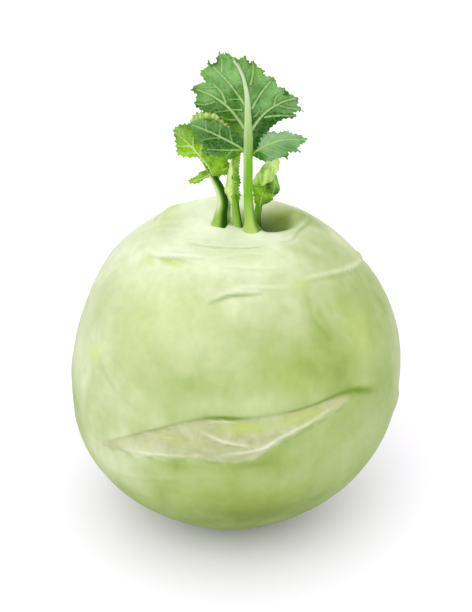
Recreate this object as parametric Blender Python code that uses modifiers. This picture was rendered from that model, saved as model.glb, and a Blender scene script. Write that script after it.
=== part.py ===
"""A kohlrabi, trimmed and standing ready for the kitchen: the round swollen stem with its root cut off flat,
and the crown of young leaves that was left on top.

Run it with blender --background --python part.py. Metres, +Z up, the front of the leaf crown towards -Y.
The origin is the middle of the flat root cut, which is the face that the bulb stands on.
"""

import math

import bpy
from mathutils import Matrix, Vector

MM = 0.001

# Driving dimensions
BULB_WIDTH = 95.0 * MM
BULB_DEPTH_RATIO = 0.98  # front to back, against side to side
CROWN_SHIFT = Vector((1.6 * MM, 0.0, 0.0))  # the crown leans this far off the root's axis
SHIFT_HEIGHT = 60.0 * MM  # the bulb's middle line is upright above this height
BLADE_THICKNESS = 0.6 * MM

# Fineness of the surfaces
BULB_STEPS = 44
STALK_STEPS = 3  # rings for each span of a stalk
STALK_SIDES = 2  # Blender's bevel resolution: 2 makes 8 sides
BLADE_CELLS = (8, 8)  # across and along
MERGE_DISTANCE = 0.01 * MM

# The bulb's side is an ellipse above its widest place and another below it, which ends at the root cut. The
# upper one ends at the shoulder, where a rounded rim turns over into a shallow hollow.
WIDEST_HEIGHT = 47.0 * MM
UPPER_REACH = 51.0 * MM  # half height of the upper ellipse
ROOT_RADIUS = 12.0 * MM
SHOULDER_RADIUS = 24.0 * MM
CROWN_HEIGHT = 93.0 * MM
HOLLOW_RADIUS = 11.0 * MM
HOLLOW_DEPTH = 2.5 * MM
FOOT_GAP = 0.5  # the stalks stand this far clear of the hollow's floor, in millimetres
SIDE_STEPS = 9  # rings above the widest place, and as many below it
RIM_STEPS = 6

FOOT = (CROWN_HEIGHT - HOLLOW_DEPTH) / MM + FOOT_GAP

# The stalks: the points of the middle line, with the radius at each, in millimetres.
STALKS = {
    "front_leaf_stalk": (
        (5.5, -3.5, FOOT, 2.8),
        (5.5, -3.5, 94, 1.8),
        (5.0, -3.5, 110, 1.5),
        (5.0, -3.5, 121, 1.2),
    ),
    "left_leaf_stalk": (
        (-3.0, 0, FOOT, 2.0),
        (-2.0, 1, 98, 1.5),
        (-2.5, 1.5, 103, 1.3),
        (-4.5, 2.5, 106.5, 1.0),
    ),
    "middle_leaf_stalk": (
        (1.5, 1, FOOT, 1.3),
        (1.0, 1, 100, 1.0),
        (0.5, 1.5, 109, 0.8),
    ),
    "right_leaf_stalk": (
        (8.5, 5, FOOT, 1.5),
        (8.5, 5, 97, 1.0),
        (9.5, 5, 102, 0.9),
    ),
    "bud_stub": (
        (0, 4, FOOT, 0.8),
        (0, 4, 96, 0.7),
        (-0.5, 4, 99, 0.9),
    ),
}


class Blade:
    """A leaf blade or lobe: a bent sheet that widens and narrows along its rib.

    root is the rib's start in millimetres. roll turns the rib from straight up towards +X, lean tips it
    away from the front, and turn swings its +X side away from the front, all in degrees. Each station
    is the distance along the rib, and the reach to the left and to the right of it, in millimetres. droop
    is how far the edges fall back from the rib, and curl how far the tip does.
    """

    def __init__(self, root, roll, lean, turn, stations, droop=1.0, curl=0.0):
        self.root = root
        self.roll = roll
        self.lean = lean
        self.turn = turn
        self.stations = stations
        self.droop = droop
        self.curl = curl

    def reach(self, share):
        """Distance along the rib and the two reaches, at a share of the rib's length."""
        length = self.stations[-1][0]
        along = self.stations[0][0] + share * (length - self.stations[0][0])
        for low, high in zip(self.stations, self.stations[1:]):
            if along <= high[0]:
                part = (along - low[0]) / (high[0] - low[0])
                return along, *(a + part * (b - a) for a, b in zip(low[1:], high[1:]))
        return length, *self.stations[-1][1:]

    def point(self, across, share):
        """The sheet's point, in metres, for across in -1 to 1 and a share of the rib's length."""
        along, left, right = self.reach(share)
        side = -left + (left + right) * (across + 1.0) / 2.0
        depth = self.curl * share**2 + self.droop * across**2 * math.sin(math.pi * share)
        flat = Matrix.Rotation(math.radians(self.roll), 3, "Y") @ Vector((side, 0.0, along))
        tipped = Matrix.Rotation(math.radians(-self.lean), 3, "X") @ Vector((flat.x, depth, flat.z))
        turned = Matrix.Rotation(math.radians(self.turn), 3, "Z") @ tipped
        return (Vector(self.root) + turned) * MM


BLADES = {
    "front_leaf_blade": Blade(
        (5, -3.5, 121.5), 0, 8, 0,
        ((0, 0.5, 1), (2.5, 3, 4.5), (5.5, 8.5, 10), (8.5, 13.5, 14.5), (11.5, 14.5, 13),
         (15, 14.5, 9), (18.5, 12.5, 5), (21.5, 10.5, 2), (24, 8, -5.5)),
        droop=3.0, curl=0.5,
    ),
    "front_leaf_left_lobe": Blade(
        (3, -4, 118.5), -60, 0, 22,
        ((0, 0.5, 0.5), (3.5, 4.5, 3), (6.5, 5, 4), (9.5, 5.5, 4), (12.5, 3.5, 3), (16, 0.5, 0.5)),
        droop=1.0,
    ),
    "front_leaf_right_lobe": Blade(
        (7, -4, 117), 75, 12, -22,
        ((0, 0.5, 0.5), (3, 4, 3), (6, 5, 3), (9, 4.5, 4), (12, 3, 3), (15.5, 0.5, 0.5)),
        droop=1.2,
    ),
    "left_leaf_blade": Blade(
        (-5.5, 3, 107.5), -36, 4, -10,
        ((0, 0.5, 1), (3.5, 1, 8), (7, 1.5, 11.5), (10.5, 4, 12), (14, 3, 11), (17.5, 0.5, 8)),
        droop=1.5,
    ),
    "left_leaf_outer_lobe": Blade(
        (-7, 2, 108), -120, 0, 0,
        ((0, 0.5, 0.8), (1.5, 1, 1.2), (3, 1.5, 0.8), (5.5, 0.3, 0.3)),
        droop=0.6,
    ),
    "left_leaf_inner_lobe": Blade(
        (-3, 4.5, 106.5), 60, 0, 0,
        ((0, 0.3, 0.3), (1.5, 1.5, 0.8), (3, 1.5, 1.5), (5.5, 0.5, 0.3)),
        droop=0.6,
    ),
    "middle_leaf_blade": Blade(
        (3, 1.5, 99), -3, 0, 0,
        ((0, 0.3, 0.6), (4, 0.5, 1), (12, 1, 1), (15, 0.3, 0.3)),
        droop=0.6,
    ),
    "right_leaf_blade": Blade(
        (10, 5, 103), 22, 0, 0,
        ((0, 0.4, 0.4), (2.5, 1.2, 1.2), (5.5, 1.3, 1.3), (8.5, 0.4, 0.4)),
        droop=1.0,
    ),
    "right_leaf_pouch_lobe": Blade(
        (13, 4, 106.5), 172, 0, 0,
        ((0, 0.3, 0.3), (2, 1, 1), (4, 1.5, 1.2), (6, 1.2, 1), (8, 0.3, 0.3)),
        droop=1.0,
    ),
    "right_leaf_lower_lobe": Blade(
        (9, 3, 98), 20, 0, 0,
        ((0, 0.5, 0.7), (2, 1.6, 1.8), (4, 2, 2), (6.5, 0.5, 0.5)),
        droop=0.8,
    ),
}

# Colour, roughness and metallic value of each finish
FINISHES = {
    "bulb_skin": ((0.52, 0.63, 0.30, 1.0), 0.45, 0.0),
    "leaf_stalk": ((0.30, 0.48, 0.10, 1.0), 0.45, 0.0),
    "leaf_blade": ((0.12, 0.30, 0.07, 1.0), 0.55, 0.0),
    "young_leaf": ((0.24, 0.46, 0.06, 1.0), 0.50, 0.0),
}
YOUNG_PIECES = ("left_leaf", "middle_leaf", "right_leaf", "bud_stub")


def clear_scene():
    """Remove whatever the scene starts with."""
    for leftover in list(bpy.data.objects):
        bpy.data.objects.remove(leftover)


def make_finish(name):
    """One Principled material."""
    colour, roughness, metallic = FINISHES[name]
    material = bpy.data.materials.new(name)
    material.use_nodes = True
    shader = material.node_tree.nodes["Principled BSDF"]
    shader.inputs["Base Color"].default_value = colour
    shader.inputs["Roughness"].default_value = roughness
    shader.inputs["Metallic"].default_value = metallic
    return material


def dress(piece, finish, collection):
    """Give a piece its own copy of a finish, and move it to the kohlrabi's collection."""
    material = make_finish(finish)
    material.name = piece.name + "_finish"
    piece.data.materials.clear()
    piece.data.materials.append(material)
    for holder in list(piece.users_collection):
        holder.objects.unlink(piece)
    collection.objects.link(piece)


def smooth_run(points, steps):
    """Points of a Catmull-Rom curve through the given ones, with so many steps to a span."""
    padded = [points[0], *points, points[-1]]
    run = []
    for before, start, end, after in zip(padded, padded[1:], padded[2:], padded[3:]):
        for step in range(steps):
            t = step / steps
            run.append(tuple(
                0.5 * (2 * b + (c - a) * t + (2 * a - 5 * b + 4 * c - d) * t**2
                       + (3 * b - a - 3 * c + d) * t**3)
                for a, b, c, d in zip(before, start, end, after)
            ))
    run.append(tuple(points[-1]))
    return run


def side(reach, first, last):
    """A stretch of an ellipse on the bulb's side, between two turns of it, as radius and height."""
    turns = [first + (last - first) * step / SIDE_STEPS for step in range(SIDE_STEPS)]
    return [(BULB_WIDTH / 2 * math.cos(turn), WIDEST_HEIGHT + reach * math.sin(turn)) for turn in turns]


def rim(shoulder_height):
    """The crown's rim, from the edge of the hollow to the shoulder, as radius and height."""
    floor = CROWN_HEIGHT - HOLLOW_DEPTH
    rise = CROWN_HEIGHT - (floor + shoulder_height) / 2
    points = []
    for step in range(RIM_STEPS):
        share = step / RIM_STEPS
        level = floor + (shoulder_height - floor) * share
        radius = HOLLOW_RADIUS + (SHOULDER_RADIUS - HOLLOW_RADIUS) * share
        points.append((radius, level + rise * math.sin(math.pi * share)))
    return points


def bulb_profile():
    """The bulb's half section, from the middle of the crown down its outer side to the root cut."""
    shoulder = math.acos(SHOULDER_RADIUS / (BULB_WIDTH / 2))
    root = math.acos(ROOT_RADIUS / (BULB_WIDTH / 2))
    upper = side(UPPER_REACH, shoulder, 0.0)
    lower = side(WIDEST_HEIGHT / math.sin(root), 0.0, -root)
    floor = (0.0, CROWN_HEIGHT - HOLLOW_DEPTH)
    return [floor, *rim(upper[0][1]), *upper, *lower, (ROOT_RADIUS, 0.0), (0.0, 0.0)]


def lean_of(height):
    """How far the bulb's middle line lies off the root's axis at a height."""
    share = min(height / SHIFT_HEIGHT, 1.0)
    return CROWN_SHIFT * (share**2 * (3.0 - 2.0 * share))


def make_bulb(finish, collection):
    """The swollen stem: a turned profile, leaned a little and made slightly oval."""
    profile = bulb_profile()
    mesh = bpy.data.meshes.new("bulb_section")
    mesh.from_pydata(
        [(radius, 0.0, height) for radius, height in profile],
        [(i, i + 1) for i in range(len(profile) - 1)],
        [],
    )
    section = bpy.data.objects.new("bulb_section", mesh)
    bpy.context.scene.collection.objects.link(section)
    turning = section.modifiers.new("turning", "SCREW")
    turning.steps = BULB_STEPS
    turning.render_steps = BULB_STEPS
    turning.use_merge_vertices = True
    turning.merge_threshold = MERGE_DISTANCE
    bpy.context.view_layer.update()
    turned = bpy.data.meshes.new_from_object(section.evaluated_get(bpy.context.evaluated_depsgraph_get()))
    bpy.data.objects.remove(section)
    for vertex in turned.vertices:
        vertex.co.y *= BULB_DEPTH_RATIO
        vertex.co += lean_of(vertex.co.z)
    turned.shade_smooth()
    bulb = bpy.data.objects.new("bulb", turned)
    bpy.context.scene.collection.objects.link(bulb)
    dress(bulb, finish, collection)


def make_stalk(name, points, finish, collection):
    """A tapering stalk: a bevelled curve with filled caps."""
    curve = bpy.data.curves.new(name, "CURVE")
    curve.dimensions = "3D"
    curve.bevel_depth = MM
    curve.bevel_resolution = STALK_SIDES
    curve.use_fill_caps = True
    run = smooth_run(points, STALK_STEPS)
    spline = curve.splines.new("POLY")
    spline.points.add(len(run) - 1)
    for spot, (x, y, z, radius) in zip(spline.points, run):
        spot.co = (x * MM, y * MM, z * MM, 1.0)
        spot.radius = radius
    stalk = bpy.data.objects.new(name, curve)
    bpy.context.scene.collection.objects.link(stalk)
    dress(stalk, finish, collection)


def make_blade(name, blade, finish, collection):
    """A blade or lobe: a grid laid along the rib, bent, and given the leaf's thickness."""
    bpy.ops.mesh.primitive_grid_add(x_subdivisions=BLADE_CELLS[0], y_subdivisions=BLADE_CELLS[1], size=2)
    sheet = bpy.context.active_object
    sheet.name = name
    for vertex in sheet.data.vertices:
        vertex.co = blade.point(vertex.co.x, (vertex.co.y + 1.0) / 2.0)
    sheet.data.shade_smooth()
    solid = sheet.modifiers.new("thickness", "SOLIDIFY")
    solid.thickness = BLADE_THICKNESS
    solid.offset = 0.0
    dress(sheet, finish, collection)


def finish_for(name, grown):
    """The young finish for the small inner leaves, and the given one for the rest."""
    return "young_leaf" if name.startswith(YOUNG_PIECES) else grown


def main():
    clear_scene()
    kohlrabi = bpy.data.collections.new("kohlrabi")
    bpy.context.scene.collection.children.link(kohlrabi)
    make_bulb("bulb_skin", kohlrabi)
    for name, points in STALKS.items():
        make_stalk(name, points, finish_for(name, "leaf_stalk"), kohlrabi)
    for name, blade in BLADES.items():
        make_blade(name, blade, finish_for(name, "leaf_blade"), kohlrabi)


main()
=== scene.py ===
"""The looks of a kohlrabi: a pale waxy bulb with its leaf scars, and the crown of young leaves on top of it.

Sizes are millimetres unless they say otherwise, and every mesh is scaled to metres as it is made. A place
on the bulb's skin is an azimuth in degrees, 0 at the front and growing towards +X, and a drop, the way down
along the skin from the middle of the crown.
"""

import logging
import math
from dataclasses import dataclass
from enum import Enum, IntEnum
from typing import Sequence

import bpy
import numpy as np
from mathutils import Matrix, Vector
from mathutils.geometry import delaunay_2d_cdt


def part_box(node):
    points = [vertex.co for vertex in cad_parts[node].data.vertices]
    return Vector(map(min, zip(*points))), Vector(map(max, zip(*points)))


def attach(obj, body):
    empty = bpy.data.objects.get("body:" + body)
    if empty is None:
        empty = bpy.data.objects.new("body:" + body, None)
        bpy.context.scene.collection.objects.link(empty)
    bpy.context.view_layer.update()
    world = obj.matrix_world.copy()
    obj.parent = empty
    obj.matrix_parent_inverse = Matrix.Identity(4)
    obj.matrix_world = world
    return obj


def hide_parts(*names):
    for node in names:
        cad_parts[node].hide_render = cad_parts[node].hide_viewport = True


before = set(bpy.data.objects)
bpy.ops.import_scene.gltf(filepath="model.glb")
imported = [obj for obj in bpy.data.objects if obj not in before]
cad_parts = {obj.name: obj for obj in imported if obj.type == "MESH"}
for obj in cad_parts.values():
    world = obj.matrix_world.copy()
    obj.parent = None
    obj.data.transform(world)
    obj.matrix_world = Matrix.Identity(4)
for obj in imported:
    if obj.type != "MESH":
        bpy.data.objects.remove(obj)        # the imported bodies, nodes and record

LOG = logging.getLogger("kohlrabi")
MM = 0.001
BODY = "root"
SECTION_STEPS = 300  # points on each half of the bulb's section
CRESCENT_POINTS = 7

# Where the parts of a healed line lie and how wide they are, as shares of the line's width
LINE_LIP = (-0.7, 1.0)
LINE_DIP = (0.45, 0.7)
# the dark green of a line is painted shade in its dip
LINE_CREASE_SHADE = (0.3, 0.5)
LINE_BLOOM_AND_HIGHLIGHT = (-0.6, 0.6)

SCAR_FULL_HEIGHT = 6.0  # a scar is as hollow as it gets where it is this tall
SCAR_LEAST_HEIGHT = 0.15  # a scar ends where it is lower than this
SCAR_SOFTNESS = 0.8  # how rounded its edges run between their points
GROOVE_WIDTH = 0.5  # of a stalk's groove, in radians
RIDGES = 7.0  # low ridges around a stalk
RIDGE_HEIGHT = 0.025  # of those ridges, as a share of the stalk's radius
FRILL_WAVE = 1.5  # from one wave of a frilled margin to the next, along it
FRILL_REACH = 1.0  # how far in from the margin its waves fade
SUNK_SHARE = 0.25  # a rib is this share of its height deep on the sheet's other face
TRIANGLE_HEIGHT = 0.866  # of an even triangle, as a share of its side
DEPTH_LINE = (0.0, 0.87, -0.5)  # a blade's depth runs back and 30 degrees down
HASH_FACTORS = (73856093, 19349663, 83492791)

Points = Sequence[Sequence[float]]
Colour = tuple[float, float, float, float]


class Slot(Enum):
    """The record's material slots."""

    BULB_SKIN = "bulb_skin"
    LEAF_STALK = "leaf_stalk"
    LEAF_BLADE = "leaf_blade"
    YOUNG_LEAF = "young_leaf"


class Bumps(IntEnum):
    """Which set of random bumps each use has."""

    RIPENESS = 2
    SCAR_FOLDS = 5
    RIPE_STREAKS = 7
    SCAR_LUMPS = 9
    SCAR_SHADE = 17
    SCAR_EDGE = 19
    LINE_WOBBLE = 31
    PATCH_EDGE = 41
    SWELLING = 51
    RIPPLES = 61
    STALK_WOBBLE = 77
    STALK_FOLDS = 83
    STALK_STREAKS = 91


# ---------------------------------------------------------------------------------------------------------
# Numbers: curves, noise and distances


def srgb(red: float, green: float, blue: float) -> Colour:
    """A colour given as 0 to 255 on a screen.

    Args:
        red: Red, 0 to 255.
        green: Green, 0 to 255.
        blue: Blue, 0 to 255.

    Returns:
        The colour as linear light with full alpha.
    """
    shares = np.array((red, green, blue)) / 255.0
    linear = np.where(shares <= 0.04045, shares / 12.92, ((shares + 0.055) / 1.055) ** 2.4)
    return (*(float(v) for v in linear), 1.0)


def smooth_step(low: float, high: float, value: np.ndarray) -> np.ndarray:
    """A soft step.

    Args:
        low: Where the step starts.
        high: Where it ends.
        value: The numbers to step on.

    Returns:
        0 before low, 1 after high, and an S-curve between them.
    """
    share = np.clip((value - low) / (high - low), 0.0, 1.0)
    return share * share * (3.0 - 2.0 * share)


def hump(value: np.ndarray, centre: float | np.ndarray, width: float) -> np.ndarray:
    """A bell of height 1 at centre that falls to 0.37 one width away."""
    return np.exp(-(((value - centre) / width) ** 2))


def smooth_run(points: Points, spacing: float, closed: bool = False, softness: float = 1.0) -> np.ndarray:
    """Points along a rounded line through the given ones.

    Args:
        points: The points to go through, of any number of coordinates.
        spacing: About how far apart the new points lie, measured on the first two coordinates.
        closed: Whether the line comes back to its start.
        softness: 1 for a Catmull-Rom curve, 0 for straight runs, or between.

    Returns:
        The new points, one a row. A closed run doesn't repeat its first point.
    """
    spots = np.array(points, float)
    count = len(spots)
    run = []
    for index in range(count if closed else count - 1):
        if closed:
            before, start, end, after = (spots[(index + step) % count] for step in (-1, 0, 1, 2))
        else:
            start, end = spots[index], spots[index + 1]
            before, after = spots[max(index - 1, 0)], spots[min(index + 2, count - 1)]
        steps = max(1, round(float(np.linalg.norm((end - start)[:3])) / spacing))
        share = (np.arange(steps) / steps)[:, None]
        curve = 0.5 * (
            2 * start
            + (end - before) * share
            + (2 * before - 5 * start + 4 * end - after) * share**2
            + (3 * start - before - 3 * end + after) * share**3
        )
        straight = start + (end - start) * share
        run.append(straight + (curve - straight) * softness)
    if not closed:
        run.append(spots[-1:])
    return np.concatenate(run)


def lattice_noise(places: np.ndarray, size: float, seed: int) -> np.ndarray:
    """Smooth random bumps.

    Args:
        places: One place a row, in two or three coordinates.
        size: About how wide a bump is.
        seed: Which set of bumps.

    Returns:
        One number from -1 to 1 for each place.
    """
    if places.shape[1] == 2:
        places = np.column_stack([places, np.zeros(len(places))])
    cell = np.floor(places / size).astype(np.int64)
    share = places / size - cell
    share = share**3 * (share * (share * 6.0 - 15.0) + 10.0)
    total = np.zeros(len(places))
    for corner in range(8):
        step = np.array([(corner >> axis) & 1 for axis in range(3)])
        key = (cell + step) @ np.array(HASH_FACTORS) + seed * 6971
        key = (key ^ (key >> 13)) * 1274126177 & 0xFFFFFFFF
        value = ((key ^ (key >> 16)) & 0xFFFF) / 32767.5 - 1.0
        total += value * np.prod(np.where(step, share, 1.0 - share), axis=1)
    return total


def layered_noise(places: np.ndarray, size: float, seed: int, layers: int = 3) -> np.ndarray:
    """Noise with finer noise on it.

    Args:
        places: One place a row.
        size: The width of the widest bumps.
        seed: Which set of bumps.
        layers: How many sizes, each half as wide and half as high as the last.

    Returns:
        One number, about -1 to 1, for each place.
    """
    total = np.zeros(len(places))
    for layer in range(layers):
        total += lattice_noise(places, size / 2**layer, seed + layer) * 0.5**layer
    return total / 1.5


def nearest_on_line(places: np.ndarray, line: np.ndarray) -> tuple[np.ndarray, np.ndarray, np.ndarray]:
    """How flat places lie to a line.

    Args:
        places: One flat place a row.
        line: The line's points, one a row.

    Returns:
        For each place its distance to the line, the share of the line's length at the nearest point, and
        which side it is on, 1 or -1.
    """
    lengths = np.linalg.norm(np.diff(line, axis=0), axis=1)
    ends = np.concatenate([[0.0], np.cumsum(lengths)])
    best = np.full(len(places), np.inf)
    share = np.zeros(len(places))
    side = np.ones(len(places))
    for start, end, length, before in zip(line, line[1:], lengths, ends):
        along = (end - start) / max(length, 1e-9)
        away = places - start
        reach = np.clip(away @ along, 0.0, length)
        distance = np.linalg.norm(away - reach[:, None] * along, axis=1)
        closer = distance < best
        best = np.where(closer, distance, best)
        share = np.where(closer, (before + reach) / ends[-1], share)
        turn = along[0] * away[:, 1] - along[1] * away[:, 0]
        side = np.where(closer, np.where(turn >= 0, 1.0, -1.0), side)
    return best, share, side


# ---------------------------------------------------------------------------------------------------------
# Meshes and the frame


def make_piece(name: str, places: np.ndarray, faces: list, masks: dict[str, np.ndarray]) -> bpy.types.Object:
    """One smooth mesh object.

    Args:
        name: The piece's name.
        places: Its vertices in millimetres, one a row.
        faces: The vertex numbers of each face.
        masks: A number for each vertex, by the name that the finish reads it by.

    Returns:
        The new object, in metres, in the scene.
    """
    mesh = bpy.data.meshes.new(name)
    mesh.from_pydata((places * MM).tolist(), [], faces)
    for mask, values in masks.items():
        layer = mesh.attributes.new(mask, "FLOAT", "POINT")
        layer.data.foreach_set("value", np.clip(values, 0.0, 1.0).astype(np.float32))
    mesh.shade_smooth()
    piece = bpy.data.objects.new(name, mesh)
    bpy.context.scene.collection.objects.link(piece)
    return piece


def settle(piece: bpy.types.Object, slot: Slot, *nodes: str) -> None:
    """Put a piece into the frame.

    Args:
        piece: The finished piece.
        slot: The record's slot for its finish, which is not used.
        nodes: The CAD nodes that it stands for.
    """
    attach(piece, BODY)
    if nodes:
        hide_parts(*nodes)
    stands_for = ", ".join(nodes) or "no node"
    LOG.info("%s: %d faces, stands for %s", piece.name, len(piece.data.polygons), stands_for)


def crown_top() -> np.ndarray:
    """The middle of the top of the CAD bulb's box, in millimetres, which the leaves are measured from."""
    low, high = (np.array(corner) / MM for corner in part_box("bulb"))
    return np.array([(low[0] + high[0]) / 2, (low[1] + high[1]) / 2, high[2]])


# ---------------------------------------------------------------------------------------------------------
# Finishes


class Wiring:
    """A short way to wire up one material's nodes."""

    def __init__(self, name: str) -> None:
        """Start a material that holds a Principled shader.

        Args:
            name: The material's name.
        """
        self.material = bpy.data.materials.new(name)
        self.material.use_nodes = True
        self.tree = self.material.node_tree
        self.shader = self.tree.nodes["Principled BSDF"]
        self.place = self.tree.nodes.new("ShaderNodeTexCoord").outputs["Object"]

    def give(self, socket: bpy.types.NodeSocket, value: object) -> None:
        """Link a socket to another, or set its number or colour."""
        if isinstance(value, bpy.types.NodeSocket):
            self.tree.links.new(value, socket)
        else:
            socket.default_value = value

    def noise(self, per_metre: float, detail: float = 2.0, stretch: Sequence[float] = (1.0, 1.0, 1.0),
              warp: float = 0.0) -> bpy.types.NodeSocket:
        """A noise texture in the object's own space.

        Args:
            per_metre: How many bumps there are in a metre.
            detail: How many finer layers it has.
            stretch: How much denser the bumps are along each axis.
            warp: How far it is distorted.

        Returns:
            The socket with the noise, 0 to 1.
        """
        stretched = self.tree.nodes.new("ShaderNodeMapping")
        self.give(stretched.inputs["Vector"], self.place)
        self.give(stretched.inputs["Scale"], stretch)
        texture = self.tree.nodes.new("ShaderNodeTexNoise")
        self.give(texture.inputs["Vector"], stretched.outputs["Vector"])
        self.give(texture.inputs["Scale"], per_metre)
        self.give(texture.inputs["Detail"], detail)
        self.give(texture.inputs["Distortion"], warp)
        return texture.outputs["Fac"]

    def net(self, per_metre: float) -> bpy.types.NodeSocket:
        """A net of thin lines, as the distance to the nearest line."""
        texture = self.tree.nodes.new("ShaderNodeTexVoronoi")
        texture.feature = "DISTANCE_TO_EDGE"
        self.give(texture.inputs["Vector"], self.place)
        self.give(texture.inputs["Scale"], per_metre)
        return texture.outputs["Distance"]

    def mask(self, name: str) -> bpy.types.NodeSocket:
        """One of the mesh's own masks, by name."""
        reader = self.tree.nodes.new("ShaderNodeAttribute")
        reader.attribute_name = name
        return reader.outputs["Fac"]

    def fit(self, value: object, low: float, high: float, to_low: float = 0.0,
            to_high: float = 1.0) -> bpy.types.NodeSocket:
        """Map a range to another, and hold it there.

        Args:
            value: The socket or number to map.
            low: The value that becomes to_low.
            high: The value that becomes to_high.
            to_low: The result at low.
            to_high: The result at high.

        Returns:
            The socket with the result.
        """
        mapper = self.tree.nodes.new("ShaderNodeMapRange")
        for socket, given in zip(mapper.inputs, (value, low, high, to_low, to_high)):
            self.give(socket, given)
        return mapper.outputs["Result"]

    def sum(self, operation: str, first: object, second: object) -> bpy.types.NodeSocket:
        """One step of arithmetic.

        Args:
            operation: The Math node's operation, such as MULTIPLY.
            first: A socket or a number.
            second: A socket or a number.

        Returns:
            The socket with the result.
        """
        step = self.tree.nodes.new("ShaderNodeMath")
        step.operation = operation
        self.give(step.inputs[0], first)
        self.give(step.inputs[1], second)
        return step.outputs["Value"]

    def blend(self, share: object, under: object, over: object, mode: str = "MIX") -> bpy.types.NodeSocket:
        """Lay one colour over another.

        Args:
            share: How much of the upper colour shows.
            under: The lower colour.
            over: The upper colour.
            mode: How they blend.

        Returns:
            The socket with the colour.
        """
        mixer = self.tree.nodes.new("ShaderNodeMix")
        mixer.data_type = "RGBA"
        mixer.blend_type = mode
        self.give(mixer.inputs["Factor"], share)
        self.give(mixer.inputs[6], under)
        self.give(mixer.inputs[7], over)
        return mixer.outputs[2]

    def bump(self, height: object, depth: float, strength: float = 1.0,
             under: object = None) -> bpy.types.NodeSocket:
        """Relief that is finer than the mesh.

        Args:
            height: The socket with the height, 0 to 1.
            depth: How high 1 stands, in metres.
            strength: The bump's strength.
            under: Relief that this one lies on.

        Returns:
            The socket with the normal.
        """
        relief = self.tree.nodes.new("ShaderNodeBump")
        self.give(relief.inputs["Height"], height)
        self.give(relief.inputs["Distance"], depth)
        self.give(relief.inputs["Strength"], strength)
        if under is not None:
            self.give(relief.inputs["Normal"], under)
        return relief.outputs["Normal"]

    def finish(self, colour: object, roughness: object, normal: object, flesh: float,
               flesh_radius: Sequence[float], gloss: float = 0.5) -> bpy.types.Material:
        """Wire the shader's sockets.

        Args:
            colour: The colour socket.
            roughness: The roughness, a socket or a number.
            normal: The relief's socket.
            flesh: How much light goes through the skin, 0 to 1.
            flesh_radius: How far red, green and blue light goes in, in metres.
            gloss: The specular level.

        Returns:
            The finished material.
        """
        inputs = self.shader.inputs
        self.give(inputs["Base Color"], colour)
        self.give(inputs["Roughness"], roughness)
        self.give(inputs["Normal"], normal)
        self.give(inputs["Subsurface Weight"], flesh)
        self.give(inputs["Subsurface Radius"], tuple(flesh_radius))
        self.give(inputs["Subsurface Scale"], 1.0)
        self.give(inputs["Specular IOR Level"], gloss)
        return self.material


@dataclass(frozen=True)
class SkinFinish:
    """The bulb's skin: waxy and pale at the crown, greener down the sides, cream where a leaf came off."""

    # The greener, darker skin is partly painted shade; the dark lines in dips and the dark of the hollow
    # behind the stalks are painted shade; the pale lips, bud crest and edges are partly painted highlight.
    pale: Colour = srgb(213, 221, 191)
    mellow: Colour = srgb(181, 190, 145)
    green: Colour = srgb(142, 162, 88)
    # the ramp's deepest green, laid where the skin is greenest, which is partly painted shade
    deep_and_shade: Colour = srgb(106, 126, 42)
    # painted shade: dark green for the pit behind the stalks and the gaps beside them
    hollow: Colour = srgb(54, 80, 20)
    yellow: Colour = srgb(178, 192, 104)
    # pale waxy bloom, also laid as painted highlight on the lines' lips, the bud's crest and some patches
    bloom: Colour = srgb(212, 219, 192)
    # painted shade: dark green for the lines' dips, the scars' edges and the bud's notch
    crease_shade: Colour = srgb(98, 130, 14)
    scar: Colour = srgb(160, 166, 120)
    scar_fold: Colour = srgb(174, 178, 140)
    scar_yellow: Colour = srgb(164, 182, 90)
    wood: Colour = srgb(168, 156, 112)
    roughness: float = 0.5
    dry_roughness: float = 0.72

    def build(self) -> bpy.types.Material:
        """Make the material.

        Returns:
            The bulb's material.
        """
        wires = Wiring("bulb_skin_finish")
        cloud = wires.noise(70.0, 3.0, warp=0.4)
        fleck = wires.noise(420.0, 3.0)
        grain = wires.noise(260.0, 2.0, (1.0, 1.0, 0.12))
        # pale to deep green by the skin's greenness mask, which also carries painted shade
        ripe_and_shade = wires.sum("ADD", wires.mask("ripe_and_shade"), wires.fit(cloud, 0.3, 0.7, -0.06, 0.06))
        ripe_and_shade = wires.sum("ADD", ripe_and_shade, wires.fit(grain, 0.3, 0.7, -0.03, 0.03))
        colour = wires.blend(wires.fit(ripe_and_shade, 0.0, 0.3), self.pale, self.mellow)
        colour = wires.blend(wires.fit(ripe_and_shade, 0.3, 0.7), colour, self.green)
        colour = wires.blend(wires.fit(ripe_and_shade, 0.7, 1.0), colour, self.deep_and_shade)
        colour = wires.blend(wires.mask("yellow"), colour, self.yellow)
        dry = wires.blend(wires.fit(wires.noise(160.0, 3.0, warp=1.0), 0.42, 0.62), self.scar, self.scar_fold)
        dry = wires.blend(wires.mask("scar_yellow"), dry, self.scar_yellow)
        colour = wires.blend(wires.mask("scar"), colour, dry)
        colour = wires.blend(wires.mask("bloom"), colour, self.bloom)
        colour = wires.blend(wires.mask("crease_shade"), colour, self.crease_shade)
        colour = wires.blend(wires.mask("hollow"), colour, self.hollow)
        colour = wires.blend(wires.mask("wood"), colour, self.wood)
        shade = wires.fit(fleck, 0.25, 0.75, 0.95, 1.04)
        joined = wires.tree.nodes.new("ShaderNodeCombineColor")
        for channel in ("Red", "Green", "Blue"):
            wires.give(joined.inputs[channel], shade)
        colour = wires.blend(1.0, colour, joined.outputs["Color"], "MULTIPLY")
        relief = wires.bump(fleck, 0.00012, 0.35)
        relief = wires.bump(grain, 0.00025, 0.25, relief)
        folds = wires.sum("MULTIPLY", wires.noise(520.0, 4.0, (0.35, 0.35, 1.0), 0.6), wires.mask("scar"))
        relief = wires.bump(folds, 0.0005, 0.6, relief)
        dryness = wires.sum("ADD", cloud, wires.mask("scar"))
        roughness = wires.fit(dryness, 0.3, 1.3, self.roughness - 0.06, self.dry_roughness)
        return wires.finish(colour, roughness, relief, 0.12, (0.0030, 0.0036, 0.0016), 0.2)


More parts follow.
